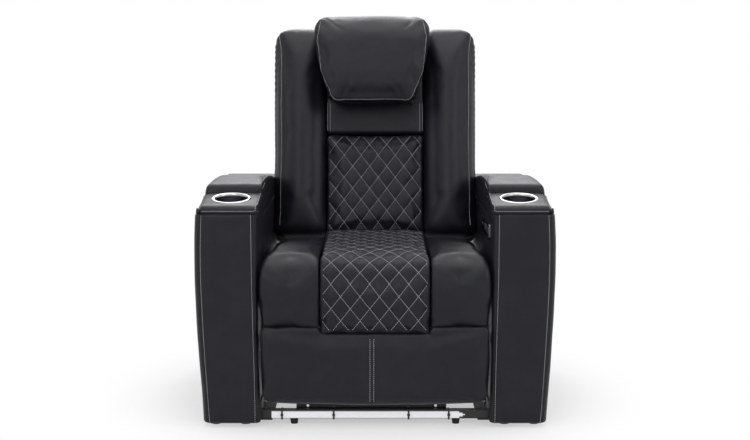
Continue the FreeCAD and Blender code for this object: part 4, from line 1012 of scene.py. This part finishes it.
def puckers(obj, side):
    # gathers in the gusset outside the seam, strongest at the upper corner
    normals = [v.normal.copy() for v in obj.data.vertices]
    for v, normal in zip(obj.data.vertices, normals):
        outside = smoothStep(0.283, 0.291, abs(v.co.x)) * smoothStep(0.08, 0.0, v.co.y)
        height = 0.35 + 0.65 * smoothStep(0.30, 0.55, v.co.z)
        wave = math.sin(v.co.z * 330 + 3 * noise.noise(Vector((0, 0, v.co.z * 20 + side))))
        v.co += normal * 0.0011 * wave * outside * height


puckers(bolsterRight, 1)
pressSeam(bolsterRight, [sideSeam], 0.0034, 0.0030)
bolsterLeft = mirrorPiece(bolsterRight, "bolsterLeft", "leather", "backrest")
finishAs(bolsterRight, "leather", "backrest")
wrinkle(bolsterLeft, 0.0009, 0.1, 47)
sideStitch = [Vector((p.x - 0.0042, p.y - 0.003, p.z)) for p in sideSeam]
stitchesRight = sew("bolsterStitchesRight", bolsterRight, [sideStitch], "backrest")
stitchesLeft = sew("bolsterStitchesLeft", bolsterLeft, [[flip @ p for p in sideStitch]], "backrest")
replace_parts(bolsterRight, "bolster_right")
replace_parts(bolsterLeft, "bolster_left")

print("lumbar quilt")
lumbarPad = softCopy("lumbarQuilt", ["lumbar_pad"], back["voxel"], backTurn, 4)
inflate(lumbarPad, lambda c: c.y > 0.108, back["pressure"], back["quiltCap"], back["quiltGrow"])
limitX(lumbarPad, -0.1420, 0.1420)
applyModifier(lumbarPad, "SUBSURF", levels=1, render_levels=1)


def lumbarMask(c, normal):
    return (smoothStep(0.141, 0.131, abs(c.x)) * smoothStep(0.004, 0.016, c.z) * smoothStep(0.302, 0.290, c.z)
            * smoothStep(0.2, 0.6, -normal.y))


quilt(lumbarPad, lambda c: (c.x, c.z), lumbarMask, lumbar, lumbar["quiltDepth"])
lumbarLines = quiltLines(lumbar, -0.134, 0.134, 0.006, 0.298, lambda x, s: Vector((x, -0.004, s)))
lumbarStitches = sew("lumbarStitches", lumbarPad, lumbarLines, "backrest", 0.0062, 0.0003,
                     outward=lambda place: Vector((0, -1, 0)))
finishAs(lumbarPad, "quilted_leather", "backrest")
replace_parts(lumbarPad, "lumbar_pad")

print("upper pad")
upperPad = softCopy("upperPad", ["upper_pad"], back["voxel"], backTurn, 4)
wrinkle(upperPad, 0.0010, 0.08, 53)


def stripLine(x):
    return [Vector((x, 0.0085, 0.312 + 0.084 * k / 12)) for k in range(13)]


pressSeam(upperPad, [stripLine(side * 0.1365) for side in (-1, 1)], 0.003, 0.0022)
stripStitch = [stripLine(side * x) for side in (-1, 1) for x in (0.1322, 0.1402)]
stripStitches = sew("stripStitches", upperPad, stripStitch, "backrest")
finishAs(upperPad, "leather", "backrest")
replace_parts(upperPad, "upper_pad")

print("rear cover")
rearCover = softCopy("rearCover", ["back_cover"], 0.006, backTurn, 5)
wrinkle(rearCover, 0.0022, 0.14, 61, (1, 1, 0.8))
coverSeams = [[Vector((side * 0.262, 0.222, -0.06 + 0.64 * k / 40)) for k in range(41)] for side in (-1, 1)]
coverSeams.append([Vector((-0.262 + 0.524 * k / 40, 0.222, 0.575)) for k in range(41)])
pressSeam(rearCover, coverSeams, 0.005, 0.0030)
coverStitch = [[p + Vector((-math.copysign(0.006, p.x), 0, 0)) for p in line] for line in coverSeams[:2]]
coverStitch.append([p - Vector((0, 0, 0.006)) for p in coverSeams[2]])
coverStitches = sew("coverStitches", rearCover, coverStitch, "backrest")
finishAs(rearCover, "leather", "backrest")
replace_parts(rearCover, "back_cover")

for obj in (bolsterRight, bolsterLeft, lumbarPad, upperPad, rearCover):
    0.8 if obj != rearCover else 0.3
for obj in (bolsterRight, bolsterLeft, lumbarPad, upperPad, rearCover, stitchesRight, stitchesLeft, lumbarStitches,
            stripStitches, coverStitches):
    lean(obj)


# headrest pillow with a seam round the face

headrest = {"voxel": 0.0045, "cap": 0.009, "pressure": 4.0, "grow": 0.003, "shift": -0.009, "edge": 0.006,
            "crown": 0.004, "narrow": 0.958, "lip": 0.016, "lower": 0.003, "faceY": -0.088}
pillowSeam = ((0.1500, 0.622), (0.1535, 0.592), (0.1515, 0.557), (0.1475, 0.512), (0.1400, 0.467), (0.1295, 0.425),
              (0.1180, 0.395), (0.1020, 0.3805), (0.0550, 0.3775), (0.0, 0.3765))

print("headrest")
pillow = softCopy("headrestPillow", ["headrest_pad"], headrest["voxel"], backTurn, 5)
inflate(pillow, lambda c: c.y > -0.030, headrest["pressure"], headrest["cap"], headrest["grow"])
for v in pillow.data.vertices:
    v.co.z += headrest["crown"] * smoothStep(0.56, 0.64, v.co.z) * (1 - (v.co.x / 0.17) ** 2) - headrest["lower"]
    v.co.z -= headrest["lip"] * smoothStep(0.47, 0.40, v.co.z) * smoothStep(-0.035, -0.06, v.co.y)
    v.co.x = v.co.x * headrest["narrow"] + headrest["shift"]
around = [Vector((x + headrest["shift"], headrest["faceY"], z)) for x, z in pillowSeam]
around += [Vector((2 * headrest["shift"] - p.x, p.y, p.z)) for p in reversed(around[:-1])]
pillowLine = [Vector((p.x, headrest["faceY"], p.y)) for p in finerPath([(p.x, p.z) for p in around], 0.005)]
middle = Vector((headrest["shift"], headrest["faceY"], 0.53))
edge = nearLine([pillowLine])
for v in pillow.data.vertices:
    away = edge.find(v.co)[2]
    outward = Vector((v.co.x - middle.x, 0, v.co.z - middle.z)).normalized()
    v.co += (outward + Vector((0, -0.5, 0))) * headrest["edge"] * math.exp(-(away / 0.014) ** 2)
wrinkle(pillow, 0.0012, 0.09, 71, (0.8, 1, 1.3))
pillowLine = [p + (p - middle).normalized() * headrest["edge"] * 0.8 for p in pillowLine]
pressSeam(pillow, [pillowLine], 0.0030, 0.0022)
pillowStitch = [p.lerp(middle, 0.032) for p in pillowLine]
pillowStitches = sew("headrestStitches", pillow, [pillowStitch], "headrest")
for obj in (pillow, pillowStitches):
    lean(obj)
finishAs(pillow, "leather", "headrest")
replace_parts(pillow, "headrest_pad")


# footrest panel

foot = {"voxel": 0.0045, "cap": 0.006, "pressure": 2.5, "grow": 0.002, "seamX": -0.008, "lift": 0.006,
        "half": 0.2950, "face": -0.4585}

print("footrest")
footPad = softCopy("footrestPanel", ["footrest_pad"], foot["voxel"], smooth=4)
inflate(footPad, lambda c: c.y > -0.428, foot["pressure"], foot["cap"], foot["grow"])
for v in footPad.data.vertices:
    v.co.z += foot["lift"] * smoothStep(0.18, 0.24, v.co.z)
limitX(footPad, -foot["half"], foot["half"], 0.002)
for v in footPad.data.vertices:
    v.co.y = max(v.co.y, foot["face"])
wrinkle(footPad, 0.0018, 0.12, 83, (0.8, 1, 1.2))
footSeam = [Vector((foot["seamX"], -0.452, 0.070 + 0.165 * k / 30)) for k in range(31)]
pressSeam(footPad, [footSeam], 0.0030, 0.0026)
footStitch = [[p + Vector((side * 0.0048, 0, 0)) for p in footSeam] for side in (-1, 1)]
sew("footrestStitches", footPad, footStitch, "footrest")
finishAs(footPad, "leather", "footrest")
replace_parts(footPad, "footrest_pad")


# floor and light

floorSize = {"side": 30, "near": 0.48, "far": 0.85, "lift": 0.5}


def floorFinish():
    # keeps the chair's shadow near it and runs out to white
    bench = newBench("studio floor")
    place = bench.place()
    away = bench.add("ShaderNodeVectorMath", {"operation": "LENGTH"}, [place], "Value")
    shade = bench.tint(bench.noise(place, 3, 3), (0.86, 0.86, 0.865), (0.89, 0.89, 0.895))
    ground = bench.add("ShaderNodeBsdfPrincipled", None, {"Base Color": shade, "Roughness": 0.9})
    white = bench.add("ShaderNodeEmission", None, {"Color": (1, 1, 1, 1), "Strength": 1.0})
    far = away.between(floorSize["near"], floorSize["far"]) * (1 - floorSize["lift"]) + floorSize["lift"]
    return bench.close(bench.add("ShaderNodeMixShader", None, {"Fac": far * bench.direct(), 1: ground, 2: white}))


bpy.ops.object.select_all(action="DESELECT")
bpy.ops.mesh.primitive_plane_add(size=floorSize["side"], location=(0, 0, 0))
floor = bpy.context.object
floor.name = "floor"
floor.data.materials.append(floorFinish())

ambient = {"strength": 0.50, "background": 1.0}
world = bpy.data.worlds.new("studio")
bpy.context.scene.world = world
studio = Bench(world)
dim, bright = (studio.add("ShaderNodeBackground", None, {"Color": (1, 1, 1, 1), "Strength": ambient[key]})
               for key in ("strength", "background"))
both = studio.add("ShaderNodeMixShader", None, {"Fac": studio.direct(), 1: dim, 2: bright})
studio.close(both, "ShaderNodeOutputWorld")

# place, aim, size in metres and power in watts of each round lamp
lamps = {"overhead": ((0.1, -0.5, 3.2), (0, -0.05, 0.5), 2.6, 38),
         "front": ((-1.6, -3.6, 2.2), (0, 0, 0.5), 2.0, 22),
         "side": ((2.6, -1.8, 2.0), (0, 0, 0.5), 1.6, 14),
         "rear": ((0, 2.5, 2.7), (0, 0, 0.7), 2.4, 60)}
for name, (place, aim, size, power) in lamps.items():
    light = bpy.data.lights.new(name, "AREA")
    light.shape = "DISK"
    light.size = size
    light.energy = power
    lamp = bpy.data.objects.new(name, light)
    bpy.context.collection.objects.link(lamp)
    lamp.location = place
    lamp.rotation_euler = (Vector(aim) - Vector(place)).to_track_quat("-Z", "Y").to_euler()
print("stage lit")

bpy.ops.object.select_all(action="DESELECT")
